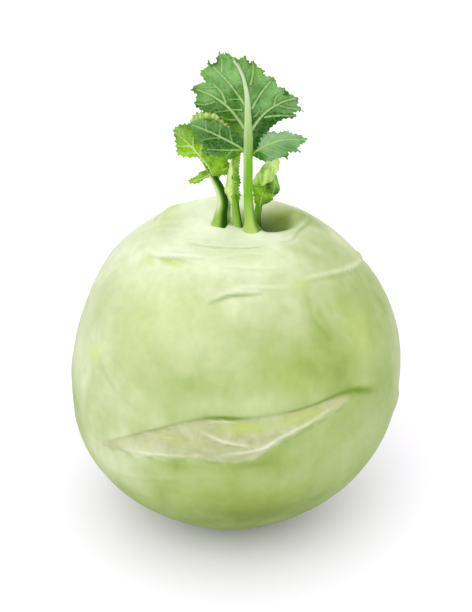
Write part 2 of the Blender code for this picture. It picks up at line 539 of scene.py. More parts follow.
@dataclass(frozen=True)
class LeafFinish:
    """A leaf blade: its colour between the ribs, its pale ribs, and the fresher colour of its young parts."""

    name: str
    blade: Colour
    bloom: Colour
    # lighter colour, partly the blade's bloom and partly painted highlight
    light: Colour
    # deep green, laid also as painted shade beside the ribs and where the sheet lies in shadow
    deep_and_shade: Colour
    fresh: Colour
    rib: Colour
    rib_fresh: Colour
    roughness: float = 0.5

    def build(self) -> bpy.types.Material:
        """Make the material.

        Returns:
            The blade's material.
        """
        wires = Wiring(self.name)
        cloud = wires.noise(260.0, 3.0, warp=0.5)
        fleck = wires.noise(1500.0, 3.0)
        fine_net = wires.net(900.0)
        wide_net = wires.net(420.0)
        cloud = wires.sum("ADD", wires.fit(cloud, 0.35, 0.65, 0.0, 0.7), wires.mask("light"))
        colour = wires.blend(wires.fit(cloud, 0.0, 0.6), self.blade, self.bloom)
        colour = wires.blend(wires.fit(cloud, 0.6, 1.5), colour, self.light)
        colour = wires.blend(wires.mask("deep_and_shade"), colour, self.deep_and_shade)
        colour = wires.blend(wires.mask("fresh"), colour, self.fresh)
        rib = wires.blend(wires.mask("fresh"), self.rib, self.rib_fresh)
        threads = wires.sum("MAXIMUM", wires.fit(fine_net, 0.0, 0.12, 0.14, 0.0),
                            wires.fit(wide_net, 0.0, 0.09, 0.2, 0.0))
        colour = wires.blend(threads, colour, rib)
        colour = wires.blend(wires.mask("rib"), colour, rib)
        relief = wires.bump(wires.fit(wide_net, 0.0, 0.16), 0.00022, 0.7)
        relief = wires.bump(wires.fit(fine_net, 0.0, 0.2), 0.00010, 0.6, relief)
        relief = wires.bump(fleck, 0.00006, 0.5, relief)
        roughness = wires.fit(fleck, 0.3, 0.7, self.roughness - 0.06, self.roughness + 0.08)
        return wires.finish(colour, roughness, relief, 0.25, (0.0006, 0.0010, 0.0002), 0.13)


@dataclass(frozen=True)
class StalkFinish:
    """A leaf stalk: pale where it joins the bulb, fresh green along its length, paler again at the rib."""

    root: Colour = srgb(172, 198, 104)
    low: Colour = srgb(162, 192, 96)
    middle: Colour = srgb(102, 156, 0)
    top: Colour = srgb(180, 195, 156)
    shade: Colour = srgb(26, 70, 0)
    bloom: Colour = srgb(160, 190, 108)
    # painted highlight down the stalk's -X side, the side the lamp is on
    pale: Colour = srgb(186, 204, 148)
    roughness: float = 0.42

    def build(self) -> bpy.types.Material:
        """Make the material.

        Returns:
            The stalks' material.
        """
        wires = Wiring("stalk_finish")
        fibre = wires.noise(1400.0, 2.0, (1.0, 1.0, 0.05))
        cloud = wires.noise(300.0, 2.0, (1.0, 1.0, 0.4))
        rise = wires.mask("rise")
        colour = wires.blend(wires.fit(rise, 0.03, 0.12), self.root, self.low)
        colour = wires.blend(wires.fit(rise, 0.12, 0.28), colour, self.middle)
        colour = wires.blend(wires.fit(rise, 0.47, 0.85), colour, self.top)
        colour = wires.blend(wires.fit(fibre, 0.45, 0.75, 0.0, 0.22), colour, self.bloom)
        colour = wires.blend(wires.fit(cloud, 0.55, 0.8, 0.0, 0.2), colour, self.shade)
        colour = wires.blend(wires.mask("pale"), colour, self.pale)
        colour = wires.blend(wires.mask("deep_and_shade"), colour, self.shade)
        relief = wires.bump(fibre, 0.00018, 0.5)
        relief = wires.bump(wires.noise(2200.0, 2.0), 0.00005, 0.4, relief)
        return wires.finish(colour, self.roughness, relief, 0.2, (0.0010, 0.0014, 0.0004), 0.12)


# ---------------------------------------------------------------------------------------------------------
# The bulb


@dataclass(frozen=True)
class SkinLine:
    """A healed line across the skin: a lip above it with painted highlight, a dip under it with painted
    shade.
    """

    points: Points
    lip: float = 0.25
    dip: float = 0.25
    width: float = 1.3
    crease_shade: float = 0.5
    # how pale the lip is: waxy bloom and painted highlight
    bloom: float = 0.4


@dataclass(frozen=True)
class Blotch:
    """A soft patch on the skin, with its half-sizes across and down it."""

    azimuth: float
    drop: float
    across: float
    down: float
    weight: float


@dataclass(frozen=True)
class LeafScar:
    """The crescent where a leaf came off: hollow under its upper edge, with the bud's stub in the middle.

    The painted shade along the upper edge is given as how dark it is at each azimuth, and the stains are
    where the tissue is yellow.
    """

    upper: Points
    lower: Points
    lip: float = 0.35
    hollow: float = 0.8
    crease_shade: Points = ((-180, 0.7), (180, 0.7))
    stains: Sequence[Blotch] = ()
    bud: float | None = None


def crescent(left: float, right: float, ends: float, top: float, bottom: float, stain: Blotch) -> LeafScar:
    """A leaf scar with evenly curved edges and its bud in the middle.

    Args:
        left: The azimuth of its left end.
        right: The azimuth of its right end.
        ends: The drop of both ends.
        top: The drop that its upper edge reaches in the middle.
        bottom: The drop that its lower edge reaches in the middle.
        stain: Where its tissue is yellow.

    Returns:
        The scar.
    """
    share = np.linspace(0.0, 1.0, CRESCENT_POINTS)
    across = left + (right - left) * share
    upper, lower = (np.column_stack([across, ends + (middle - ends) * np.sin(math.pi * share)])
                    for middle in (top, bottom))
    return LeafScar(upper, lower, hollow=1.0, stains=(stain,), bud=(left + right) / 2)


@dataclass
class Skin:
    """The skin's grid while it is being worked: one row for each azimuth and drop, and the masks so far."""

    azimuth: np.ndarray
    drop: np.ndarray
    radius: np.ndarray
    places: np.ndarray
    lift: np.ndarray
    masks: dict[str, np.ndarray]

    def flat_to(self, azimuth: float) -> np.ndarray:
        """The skin laid flat around an azimuth.

        Args:
            azimuth: The azimuth, in degrees, that lies at 0.

        Returns:
            For each vertex, how far it is across and down.
        """
        turned = (self.azimuth - azimuth + 180.0) % 360.0 - 180.0
        return np.column_stack([np.radians(turned) * self.radius, self.drop])

    def paint(self, mask: str, amount: np.ndarray) -> None:
        """Lay more of a mask on, without going over 1."""
        self.masks[mask] = self.masks[mask] + amount * (1.0 - self.masks[mask])


@dataclass
class Bulb:
    """The swollen stem.

    Its half section is an ellipse above the widest place and a fuller curve below it. The middle line gives
    how far towards +X the middle lies at a height. The pit is the hollow behind the stalks, and its middle,
    front and back are places in the frame. A skirt is a stalk's place, its radius and how high the skin
    climbs there. A spot of painted shade beside a stalk is given by its place and its reach. The stretches
    are the start, the end and the step of the skin's grid, and the greenness by height grows towards the
    bottom, partly the skin's own colour and partly painted shade.
    """

    depth_ratio: float = 0.98
    widest_height: float = 47.0
    upper_reach: float = 51.0
    crown_level: float = 92.5
    crown_rounding: float = 0.6
    root_radius: float = 12.0
    lower_fullness: float = 2.6
    lower_taper: float = 1.2
    middle_line: Points = ((0.0, 0.0), (20.0, 0.0), (45.0, 1.5), (65.0, 2.0), (80.0, 1.0), (92.0, 0.5))
    pit_middle: float = 9.0
    pit_half: float = 10.5
    pit_front: float = -2.4
    pit_back: float = 16.0
    pit_depth: float = 5.0
    pit_curve: float = 3.0
    crown_reach: float = 40.0
    skirt_fade: float = 1.5
    swelling: float = 0.45
    ripples: float = 0.10
    drop_stretches: Points = ((0.3, 14, 0.36), (14, 34, 0.62), (34, 60, 0.95), (60, 86, 0.42))
    last_drop_step: float = 1.15
    azimuth_stretches: Points = (
        (-180, -84, 1.6), (-84, -56, 0.8), (-56, 56, 0.48), (56, 84, 0.8), (84, 180, 1.6),
    )
    # greener and darker towards the bottom: partly the skin's own colour, partly painted shade
    ripeness_and_shade: Points = ((0, 0.98), (12, 0.9), (30, 0.72), (50, 0.66), (66, 0.52), (80, 0.36), (91, 0.02))
    skirts: Points = ((6.0, -2.5, 2.6, 1.0), (-4.0, 0.0, 2.4, 1.6), (1.9, 0.6, 1.2, 1.0))
    # spots of painted shade beside the stalks, each a place and a reach
    shade_spots: Points = ((-1.0, 1.6, 1.3), (3.2, 0.6, 1.2), (9.6, -0.6, 2.2), (11.6, 0.6, 2.4))
    lines: Sequence[SkinLine] = (
        SkinLine(((-72, 26.5), (-58, 25), (-45, 22.5), (-30, 20), (-14, 19)), 0.5, 0.45, 1.1, 0.3, 0.95),
        SkinLine(((-14, 18.5), (0, 17), (16, 16.5), (30, 18.5)), 0.15, 0.2, 0.9, 0.2, 0.4),
        SkinLine(((-60, 15), (-30, 12.5), (0, 11.5), (48, 14)), 0.12, 0.2, 0.8, 0.35, 0.3),
        SkinLine(((-12, 22), (12, 23), (32, 24.5)), 0.12, 0.1, 0.9, 0.15, 0.3),
        SkinLine(((-13, 33.5), (-8, 32), (0, 30.5), (17, 30.5)), 0.2, 0.4, 1.1, 0.7, 0.3),
        SkinLine(((0, 29.5), (12, 29), (33, 31)), 0.15, 0.15, 0.9, 0.1, 0.5),
        SkinLine(((40, 30.5), (52, 31.5), (68, 34.5), (99, 42)), 0.4, 0.25, 1.3, 0.35, 0.6),
        SkinLine(((40, 31.5), (40, 36), (37, 40), (42, 50)), 0.2, 0.2, 1.4, 0.2, 0.0),
        SkinLine(((58, 14.5), (64, 17.5), (85, 18.5), (112, 24)), 0.2, 0.15, 1.0, 0.4, 0.2),
        SkinLine(((-146, 21), (-130, 23.5), (-104, 22.5)), 0.7, 0.3, 1.3, 0.7, 0.2),
        SkinLine(((-66, 54), (-50, 62.5), (-34, 67)), 0.05, 0.04, 1.6, 0.12, 0.0),
        SkinLine(((-48, 92.5), (-36, 90), (-16, 85)), 0.1, 0.08, 1.4, 0.1, 0.1),
        SkinLine(((-13, 69.5), (-4, 72), (5, 73.5)), 0.4, 0.25, 0.8, 0.0, 0.55),
        SkinLine(((-6, 76.5), (8, 74.5), (16, 71), (36, 66)), 0.35, 0.1, 0.9, 0.0, 0.6),
        SkinLine(((0, 65), (18, 64.5)), 0.15, 0.1, 0.5, 0.0, 0.45),
        SkinLine(((-42, 82), (-24, 79), (-10, 77)), 0.25, 0.1, 0.8, 0.0, 0.45),
        SkinLine(((34, 62), (42, 62.5), (57, 67.5)), 0.0, 0.2, 2.6, 0.8, 0.0),
        SkinLine(((100, 42), (112, 46.5), (124, 52.5)), 0.5, 0.4, 1.3, 0.3, 0.5),
        SkinLine(((150, 28), (165, 25.5), (196, 30)), 0.5, 0.5, 1.2, 0.5, 0.5),
        SkinLine(((-120, 38), (-104, 40.5), (-82, 54)), 0.4, 0.4, 1.3, 0.3, 0.4),
        SkinLine(((60, 88), (78, 84), (112, 86)), 0.4, 0.4, 1.5, 0.3, 0.3),
        SkinLine(((-160, 92), (-140, 88.5), (-100, 91)), 0.4, 0.4, 1.5, 0.3, 0.3),
    )
    scars: Sequence[LeafScar] = (
        LeafScar(
            upper=((-51, 83), (-42, 78), (-32, 73), (-22, 68.5), (-12, 65.5), (-5, 65.5), (6, 64.5), (20, 64),
                   (36, 63), (46, 64)),
            lower=((-51, 84), (-40, 82), (-24, 79.5), (-10, 78), (0, 78), (6, 77), (14, 73), (24, 69.5),
                   (36, 67), (46, 64)),
            hollow=0.7, bud=-5.0,
            crease_shade=((-51, 0), (-30, 0.12), (-16, 0.35), (-9, 0.9), (0, 1), (6, 0.5), (14, 0.45), (22, 0.9),
                    (44, 0.9)),
            stains=(Blotch(-36, 78.5, 7, 3, 0.2), Blotch(4, 67.5, 8, 1.6, 0.8), Blotch(22, 66, 9, 2, 0.6),
                    Blotch(-22, 73, 5, 2, 0.3)),
        ),
        crescent(106.0, 172.0, 62.5, 54.5, 65.0, Blotch(132, 61, 8, 2.4, 0.7)),
        crescent(-168.0, -112.0, 56.5, 48.0, 57.5, Blotch(-150, 54, 8, 2.2, 0.7)),
        crescent(-122.0, -84.0, 81.0, 75.0, 83.5, Blotch(-108, 80, 6, 2.2, 0.7)),
    )
    # patches of more and less green, partly the skin's own colour; the greener ones on the right side, the
    # crown's right and back and near the bottom are partly painted shade
    ripe_and_shade_patches: Sequence[Blotch] = (
        Blotch(24, 52, 17, 9, 0.26), Blotch(4, 61, 12, 4, -0.08), Blotch(34, 30, 12, 14, 0.14),
        Blotch(70, 38, 12, 18, 0.3), Blotch(-72, 64, 12, 12, -0.4), Blotch(80, 72, 8, 8, -0.2),
        Blotch(8, 98, 16, 9, 0.26), Blotch(-2, 92, 12, 5, 0.14), Blotch(-48, 88, 14, 12, -0.4),
        Blotch(46, 82, 14, 8, -0.2),
        Blotch(-24, 70, 16, 4, -0.1), Blotch(-22, 81.3, 6, 1.4, 0.15), Blotch(6, 79, 6, 1.6, 0.12),
        Blotch(92, 25, 10, 8, 0.3), Blotch(120, 20, 9, 8, 0.5), Blotch(56, 22, 8, 6, 0.08),
        Blotch(-30, 22, 14, 3, 0.06),
        Blotch(-96, 20, 11, 9, 0.22), Blotch(-74, 52, 8, 14, 0.1), Blotch(-18, 56, 6, 3.5, 0.16),
        Blotch(4, 86, 18, 5, -0.1),
        Blotch(0, 12, 16, 7, -0.45), Blotch(96, 50, 14, 10, 0.2), Blotch(-48, 68, 9, 7, -0.26),
        Blotch(52, 48, 12, 10, 0.12), Blotch(-20, 28, 16, 6, 0.14), Blotch(4, 43, 14, 7, 0.1),
        Blotch(-96, 40, 14, 12, -0.1),
        Blotch(140, 48, 18, 12, 0.2), Blotch(-140, 66, 18, 10, 0.2), Blotch(180, 60, 14, 18, 0.15),
    )
    yellow_patches: Sequence[Blotch] = (
        Blotch(-34, 36, 14, 9, 0.25), Blotch(-44, 46, 10, 9, 0.2), Blotch(-62, 59, 3.2, 3.0, 0.7),
        Blotch(-45, 24.3, 6, 1.2, 0.8), Blotch(-35, 22.7, 3, 0.8, 0.7), Blotch(-58, 27.3, 3, 1.0, 0.6),
        Blotch(-108, 19.9, 2.6, 2.4, 0.6), Blotch(-129, 22.6, 5.0, 1.6, 0.95), Blotch(56, 50, 7, 9, 0.4),
        Blotch(14, 20, 10, 3, 0.3), Blotch(40, 30.5, 3.0, 1.5, 0.6), Blotch(0, 15, 16, 3, 0.25),
        Blotch(22, 54, 8, 5, 0.15), Blotch(6, 93, 16, 5, 0.25), Blotch(45, 64, 5, 1.6, 0.5),
        Blotch(150, 40, 10, 8, 0.4), Blotch(-160, 42, 12, 8, 0.4), Blotch(100, 60, 8, 10, 0.3),
    )
    # pale patches, partly waxy bloom and partly painted highlight, also along the right edge
    bloom_and_highlight_patches: Sequence[Blotch] = (
        Blotch(-72, 48, 14, 16, 0.12), Blotch(-20, 44, 14, 6, 0.12), Blotch(100, 66, 6, 16, 0.3),
        Blotch(-2, 61, 12, 3, 0.12), Blotch(6, 11, 14, 5, 0.3), Blotch(-36, 79.5, 8, 3, 0.35),
    )

    def half_section(self) -> np.ndarray:
        """The section from the crown's middle to the root cut.

        It is an ellipse that is levelled off at the crown, and below the widest place a fuller curve that
        tapers to the root cut.

        Returns:
            Rows of radius, height and drop, closely spaced.
        """
        low, high = (corner[0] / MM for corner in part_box("bulb"))
        half_width = (high - low) / 2
        turn = np.linspace(math.pi / 2, 0.0, SECTION_STEPS, endpoint=False)
        ellipse = self.widest_height + self.upper_reach * np.sin(turn)
        over = self.crown_rounding * np.log1p(np.exp((self.crown_level - ellipse) / self.crown_rounding))
        upper = np.column_stack([half_width * np.cos(turn), self.crown_level - over])
        root = (1.0 - (self.root_radius / half_width) ** self.lower_taper) ** (1.0 / self.lower_fullness)
        share = np.sin(np.linspace(0.0, math.asin(root), SECTION_STEPS))
        radius = half_width * (1.0 - share**self.lower_fullness) ** (1.0 / self.lower_taper)
        lower = np.column_stack([radius, self.widest_height * (1.0 - share / root)])
        run = np.vstack([upper, lower])
        drop = np.concatenate([[0.0], np.cumsum(np.linalg.norm(np.diff(run, axis=0), axis=1))])
        return np.column_stack([run, drop])

    def middle_at(self, height: np.ndarray) -> np.ndarray:
        """How far the bulb's middle line lies towards +X at each height."""
        line = smooth_run(self.middle_line, 1.0)
        return np.interp(height, line[:, 0], line[:, 1])

    @staticmethod
    def spaced(stretches: Points) -> np.ndarray:
        """Numbers that lie closer where more detail is.

        Args:
            stretches: The start, the end and the step of each stretch, one after the other.

        Returns:
            The numbers, without the last end.
        """
        return np.concatenate([
            np.linspace(start, end, max(2, round((end - start) / step)), endpoint=False)
            for start, end, step in stretches
        ])

    def lay_skin(self) -> tuple[Skin, tuple[int, int]]:
        """Lay out the grid of the skin.

        Returns:
            The grid, and its numbers of rows and columns.
        """
        section = self.half_section()
        edge = float(section[-1, 2])
        last = (self.drop_stretches[-1][1], edge, self.last_drop_step)
        drops = np.append(self.spaced((*self.drop_stretches, last)), edge)
        azimuths = self.spaced(self.azimuth_stretches)
        radius = np.interp(drops, section[:, 2], section[:, 0])
        height = np.interp(drops, section[:, 2], section[:, 1])
        turn = np.radians(azimuths)
        places = np.stack([
            radius[:, None] * np.sin(turn) + self.middle_at(height)[:, None],
            -radius[:, None] * np.cos(turn) * self.depth_ratio,
            np.repeat(height[:, None], len(turn), 1),
        ], axis=-1).reshape(-1, 3)
        count = len(places)
        skin = Skin(
            azimuth=np.tile(azimuths, len(drops)),
            drop=np.repeat(drops, len(azimuths)),
            radius=np.repeat(radius, len(azimuths)),
            places=places,
            lift=np.zeros(count),
            masks={name: np.zeros(count) for name in
                   ("ripe_and_shade", "yellow", "bloom", "crease_shade", "scar", "scar_yellow", "hollow", "wood")},
        )
        return skin, (len(drops), len(azimuths))

    @staticmethod
    def outward(grid: tuple[int, int], places: np.ndarray) -> np.ndarray:
        """The directions that face out of the skin.

        Args:
            grid: The numbers of rows and columns.
            places: The vertices, row by row.

        Returns:
            One direction for each vertex.
        """
        sheet = places.reshape(*grid, 3)
        across = np.roll(sheet, -1, axis=1) - np.roll(sheet, 1, axis=1)
        down = np.gradient(sheet, axis=0)
        out = np.cross(down, across)
        return (out / (np.linalg.norm(out, axis=2, keepdims=True) + 1e-9)).reshape(-1, 3)

    def draw_line(self, skin: Skin, line: SkinLine) -> None:
        """Press a healed line into the skin.

        Args:
            skin: The skin to work.
            line: The line.
        """
        run = smooth_run(line.points, 2.0)
        middle = float(run[:, 0].mean())
        radius = np.interp(run[:, 1], *self.half_section()[:, [2, 0]].T)
        path = np.column_stack([np.radians(run[:, 0] - middle) * radius, run[:, 1]])
        distance, share, side = nearest_on_line(skin.flat_to(middle), path)
        taper = np.clip(np.sin(np.pi * np.clip(share, 0.0, 1.0)), 0.0, 1.0) ** 0.6
        offset = distance * side
        wobble = 1.0 + 0.35 * lattice_noise(skin.places, 5.0, Bumps.LINE_WOBBLE)
        lip, dip, crease_shade, bloom = (hump(offset, place * line.width, width * line.width)
                                   for place, width in (LINE_LIP, LINE_DIP, LINE_CREASE_SHADE, LINE_BLOOM_AND_HIGHLIGHT))
        skin.lift += line.lip * taper * wobble * lip
        skin.lift -= line.dip * taper * wobble * dip
        # painted shade in the line's dip and painted highlight along its lip
        skin.paint("crease_shade", line.crease_shade * taper * wobble * crease_shade)
        skin.paint("bloom", line.bloom * taper * wobble * bloom)

    def cut_scar(self, skin: Skin, scar: LeafScar) -> None:
        """Hollow out a leaf scar.

        Args:
            skin: The skin to work.
            scar: The scar.
        """
        upper = smooth_run(scar.upper, 1.0, softness=SCAR_SOFTNESS)
        lower = smooth_run(scar.lower, 1.0, softness=SCAR_SOFTNESS)
        middle = 0.5 * (upper[0, 0] + upper[-1, 0])
        turned = (skin.azimuth - middle + 180.0) % 360.0 - 180.0 + middle
        top = np.interp(turned, upper[:, 0], upper[:, 1])
        bottom = np.interp(turned, lower[:, 0], lower[:, 1])
        inside = (turned > upper[0, 0]) & (turned < upper[-1, 0])
        tall = np.where(inside, np.maximum(bottom - top, 0.0), 0.0)
        room = np.clip(tall / SCAR_FULL_HEIGHT, 0.0, 1.0)
        below_top = skin.drop - top
        above_bottom = bottom - skin.drop
        share = np.clip(below_top / np.maximum(tall, 0.3), 0.0, 1.0)
        open_here = tall > SCAR_LEAST_HEIGHT
        within = smooth_step(-0.15, 0.25, below_top) * smooth_step(-0.35, 0.35, above_bottom) * open_here
        flat = skin.flat_to(middle)
        fold = layered_noise(flat * (0.16, 0.9), 1.0, Bumps.SCAR_FOLDS)
        lump = layered_noise(flat, 3.2, Bumps.SCAR_LUMPS, 2)
        floor = -scar.hollow * room * (1.0 - share) ** 0.8 + 0.3 * room * np.sin(np.pi * share)
        skin.lift += within * (floor + (0.3 * fold + 0.2 * lump) * (0.3 + 0.7 * room))
        near = smooth_step(upper[0, 0] - 5.0, upper[0, 0] + 8.0, turned)
        near *= 1.0 - smooth_step(upper[-1, 0] - 4.0, upper[-1, 0] + 4.0, turned)
        brow = (1.0 - within) * near * (0.4 + 0.6 * room)
        skin.lift += scar.lip * brow * hump(below_top, -2.2, 2.4) * (below_top < 1.0)
        skin.lift += 0.3 * brow * hump(-above_bottom, 0.9, 1.3) * (above_bottom < 0.5)
        ragged = 0.3 * layered_noise(flat, 2.4, Bumps.SCAR_EDGE, 2)
        dry = smooth_step(-0.3, 0.55, below_top + ragged) * smooth_step(-0.45, 0.6, above_bottom + ragged)
        skin.masks["scar"] = np.maximum(skin.masks["scar"], dry * open_here * smooth_step(0.0, 1.6, tall))
        dark = np.interp(turned, *np.array(scar.crease_shade, float).T)
        line = near * dark * (0.8 + 0.2 * lattice_noise(flat, 7.0, Bumps.SCAR_SHADE))
        # painted shade: a dark line along the scar's upper edge, and another along its lower edge
        skin.paint("crease_shade", line * hump(below_top, -0.2, 0.5))
        skin.paint("crease_shade", 0.3 * near * hump(-above_bottom, 0.45, 0.5) * smooth_step(-0.2, 0.5, lump))
        for stain in scar.stains:
            skin.paint("scar_yellow", stain.weight * self.patch_share(skin, stain))
        if scar.bud is not None:
            self.set_bud(skin, scar, float(np.interp(scar.bud, upper[:, 0], upper[:, 1])))

    def set_bud(self, skin: Skin, scar: LeafScar, drop: float) -> None:
        """Raise the bud's small crest in the middle of a scar's upper edge, with a notch over it: painted
        highlight on the crest and painted shade in the notch.

        Args:
            skin: The skin to work.
            scar: The scar that the bud belongs to.
            drop: The drop of the upper edge there.
        """
        across, down = skin.flat_to(scar.bud).T
        down = down - drop
        crest = hump(down, 0.1 + 0.16 * np.abs(across), 0.42) * hump(across, 0.0, 2.6)
        notch = hump(down, -0.75, 0.6) * hump(across, 0.6, 4.2)
        skin.lift += 0.75 * crest - 0.8 * notch
        skin.paint("crease_shade", 0.95 * notch * (1.0 - crest))
        skin.paint("bloom", 0.9 * crest)
        skin.masks["crease_shade"] *= 1.0 - 0.8 * crest

    def shape_crown(self, skin: Skin) -> None:
        """Raise the skin where it runs up each stalk, sink the hollow behind the stalks, and paint shade into
        that hollow and beside the stalks.

        Args:
            skin: The skin to work.
        """
        on_crown = skin.drop < self.crown_reach
        for foot_x, foot_y, radius, height in self.skirts:
            away = np.hypot(skin.places[:, 0] - foot_x, skin.places[:, 1] - foot_y)
            climb = np.exp(-np.maximum(away - radius, 0.0) / self.skirt_fade) - 0.05
            skin.places[:, 2] += height * np.clip(climb, 0.0, 1.0) * on_crown
        across = np.abs(skin.places[:, 0] - self.pit_middle) / self.pit_half
        behind = skin.places[:, 1] - self.pit_front - self.pit_curve * across**2
        sunk = smooth_step(-0.6, 4.0, behind) * (1.0 - smooth_step(0.35, 1.0, across)) * on_crown
        sunk *= 1.0 - smooth_step(4.5, self.pit_back - self.pit_front, behind)
        skin.places[:, 2] -= self.pit_depth * sunk
        # painted shade: the pit behind the stalks and the spots beside them are made darker and greener
        shaded = smooth_step(-2.2, 2.6, behind) * (1.0 - smooth_step(0.35, 0.95, across)) * on_crown
        shaded *= 1.0 - smooth_step(8.0, 17.0, behind)
        hollow = 0.95 * shaded * (0.35 + 0.65 * hump(skin.places[:, 0], 8.5, 4.5))
        for gap_x, gap_y, reach in self.shade_spots:
            away = np.hypot(skin.places[:, 0] - gap_x, skin.places[:, 1] - gap_y)
            hollow = np.maximum(hollow, 0.9 * np.exp(-((away / reach) ** 2)) * on_crown)
        skin.masks["hollow"] = hollow
        skin.masks["ripe_and_shade"] += 0.8 * shaded

    def colour_skin(self, skin: Skin) -> None:
        """Work out how green, yellow and woody the skin is; greener, darker parts are partly painted shade.
        """
        height = skin.places[:, 2]
        ripe_and_shade = np.interp(height, *np.array(self.ripeness_and_shade, float).T)
        ripe_and_shade += 0.07 * layered_noise(skin.places, 26.0, Bumps.RIPENESS)
        ripe_and_shade += 0.04 * layered_noise(skin.places * (1.0, 1.0, 0.25), 5.0, Bumps.RIPE_STREAKS, 2)
        for patch in self.ripe_and_shade_patches:
            ripe_and_shade += patch.weight * self.patch_share(skin, patch)
        skin.masks["ripe_and_shade"] = np.clip(ripe_and_shade, 0.0, 1.0)
        for patch in self.yellow_patches:
            skin.paint("yellow", patch.weight * self.patch_share(skin, patch))
        for patch in self.bloom_and_highlight_patches:
            skin.paint("bloom", patch.weight * self.patch_share(skin, patch))
        edge = float(self.half_section()[-1, 2])
        skin.masks["wood"] = smooth_step(edge - 5.0, edge - 0.5, skin.drop)

    @staticmethod
    def patch_share(skin: Skin, patch: Blotch) -> np.ndarray:
        """How much of a soft patch lies on each vertex."""
        flat = skin.flat_to(patch.azimuth)
        rough = 1.0 + 0.35 * layered_noise(skin.places, 6.0, Bumps.PATCH_EDGE, 2)
        reach = np.hypot(flat[:, 0] / patch.across, (flat[:, 1] - patch.drop) / patch.down)
        return np.exp(-((reach * rough) ** 2))

    def build(self) -> None:
        """Make the bulb."""
        skin, grid = self.lay_skin()
        rows, columns = grid
        self.colour_skin(skin)
        swelling = self.swelling * layered_noise(skin.places, 24.0, Bumps.SWELLING, 2)
        ripples = self.ripples * layered_noise(skin.places, 5.0, Bumps.RIPPLES, 2)
        skin.lift += swelling + ripples
        for line in self.lines:
            self.draw_line(skin, line)
        for scar in self.scars:
            self.cut_scar(skin, scar)
        edge = float(skin.drop[-1])
        above_root = 1.0 - smooth_step(edge - 9.0, edge - 1.0, skin.drop)
        skin.lift *= smooth_step(2.0, 10.0, skin.drop) * above_root
        skin.places = skin.places + self.outward(grid, skin.places) * skin.lift[:, None]
        self.shape_crown(skin)
        places = skin.places
        places[:, 2] = np.maximum(places[:, 2], 0.0)
        places = np.vstack([places, places[:columns].mean(axis=0), np.zeros(3)])
        faces = []
        for row in range(rows - 1):
            for column in range(columns):
                after = (column + 1) % columns
                start, below = row * columns, (row + 1) * columns
                faces.append((start + column, below + column, below + after, start + after))
        for column in range(columns):
            after = (column + 1) % columns
            faces.append((rows * columns, column, after))
            last = (rows - 1) * columns
            faces.append((rows * columns + 1, last + after, last + column))
        masks = {name: np.append(values, (values[:columns].mean(), values[-columns:].mean()))
                 for name, values in skin.masks.items()}
        bulb = make_piece("bulb_skin", places, faces, masks)
        bulb.data.materials.append(SkinFinish().build())
        settle(bulb, Slot.BULB_SKIN, "bulb")


# ---------------------------------------------------------------------------------------------------------
# Stalks


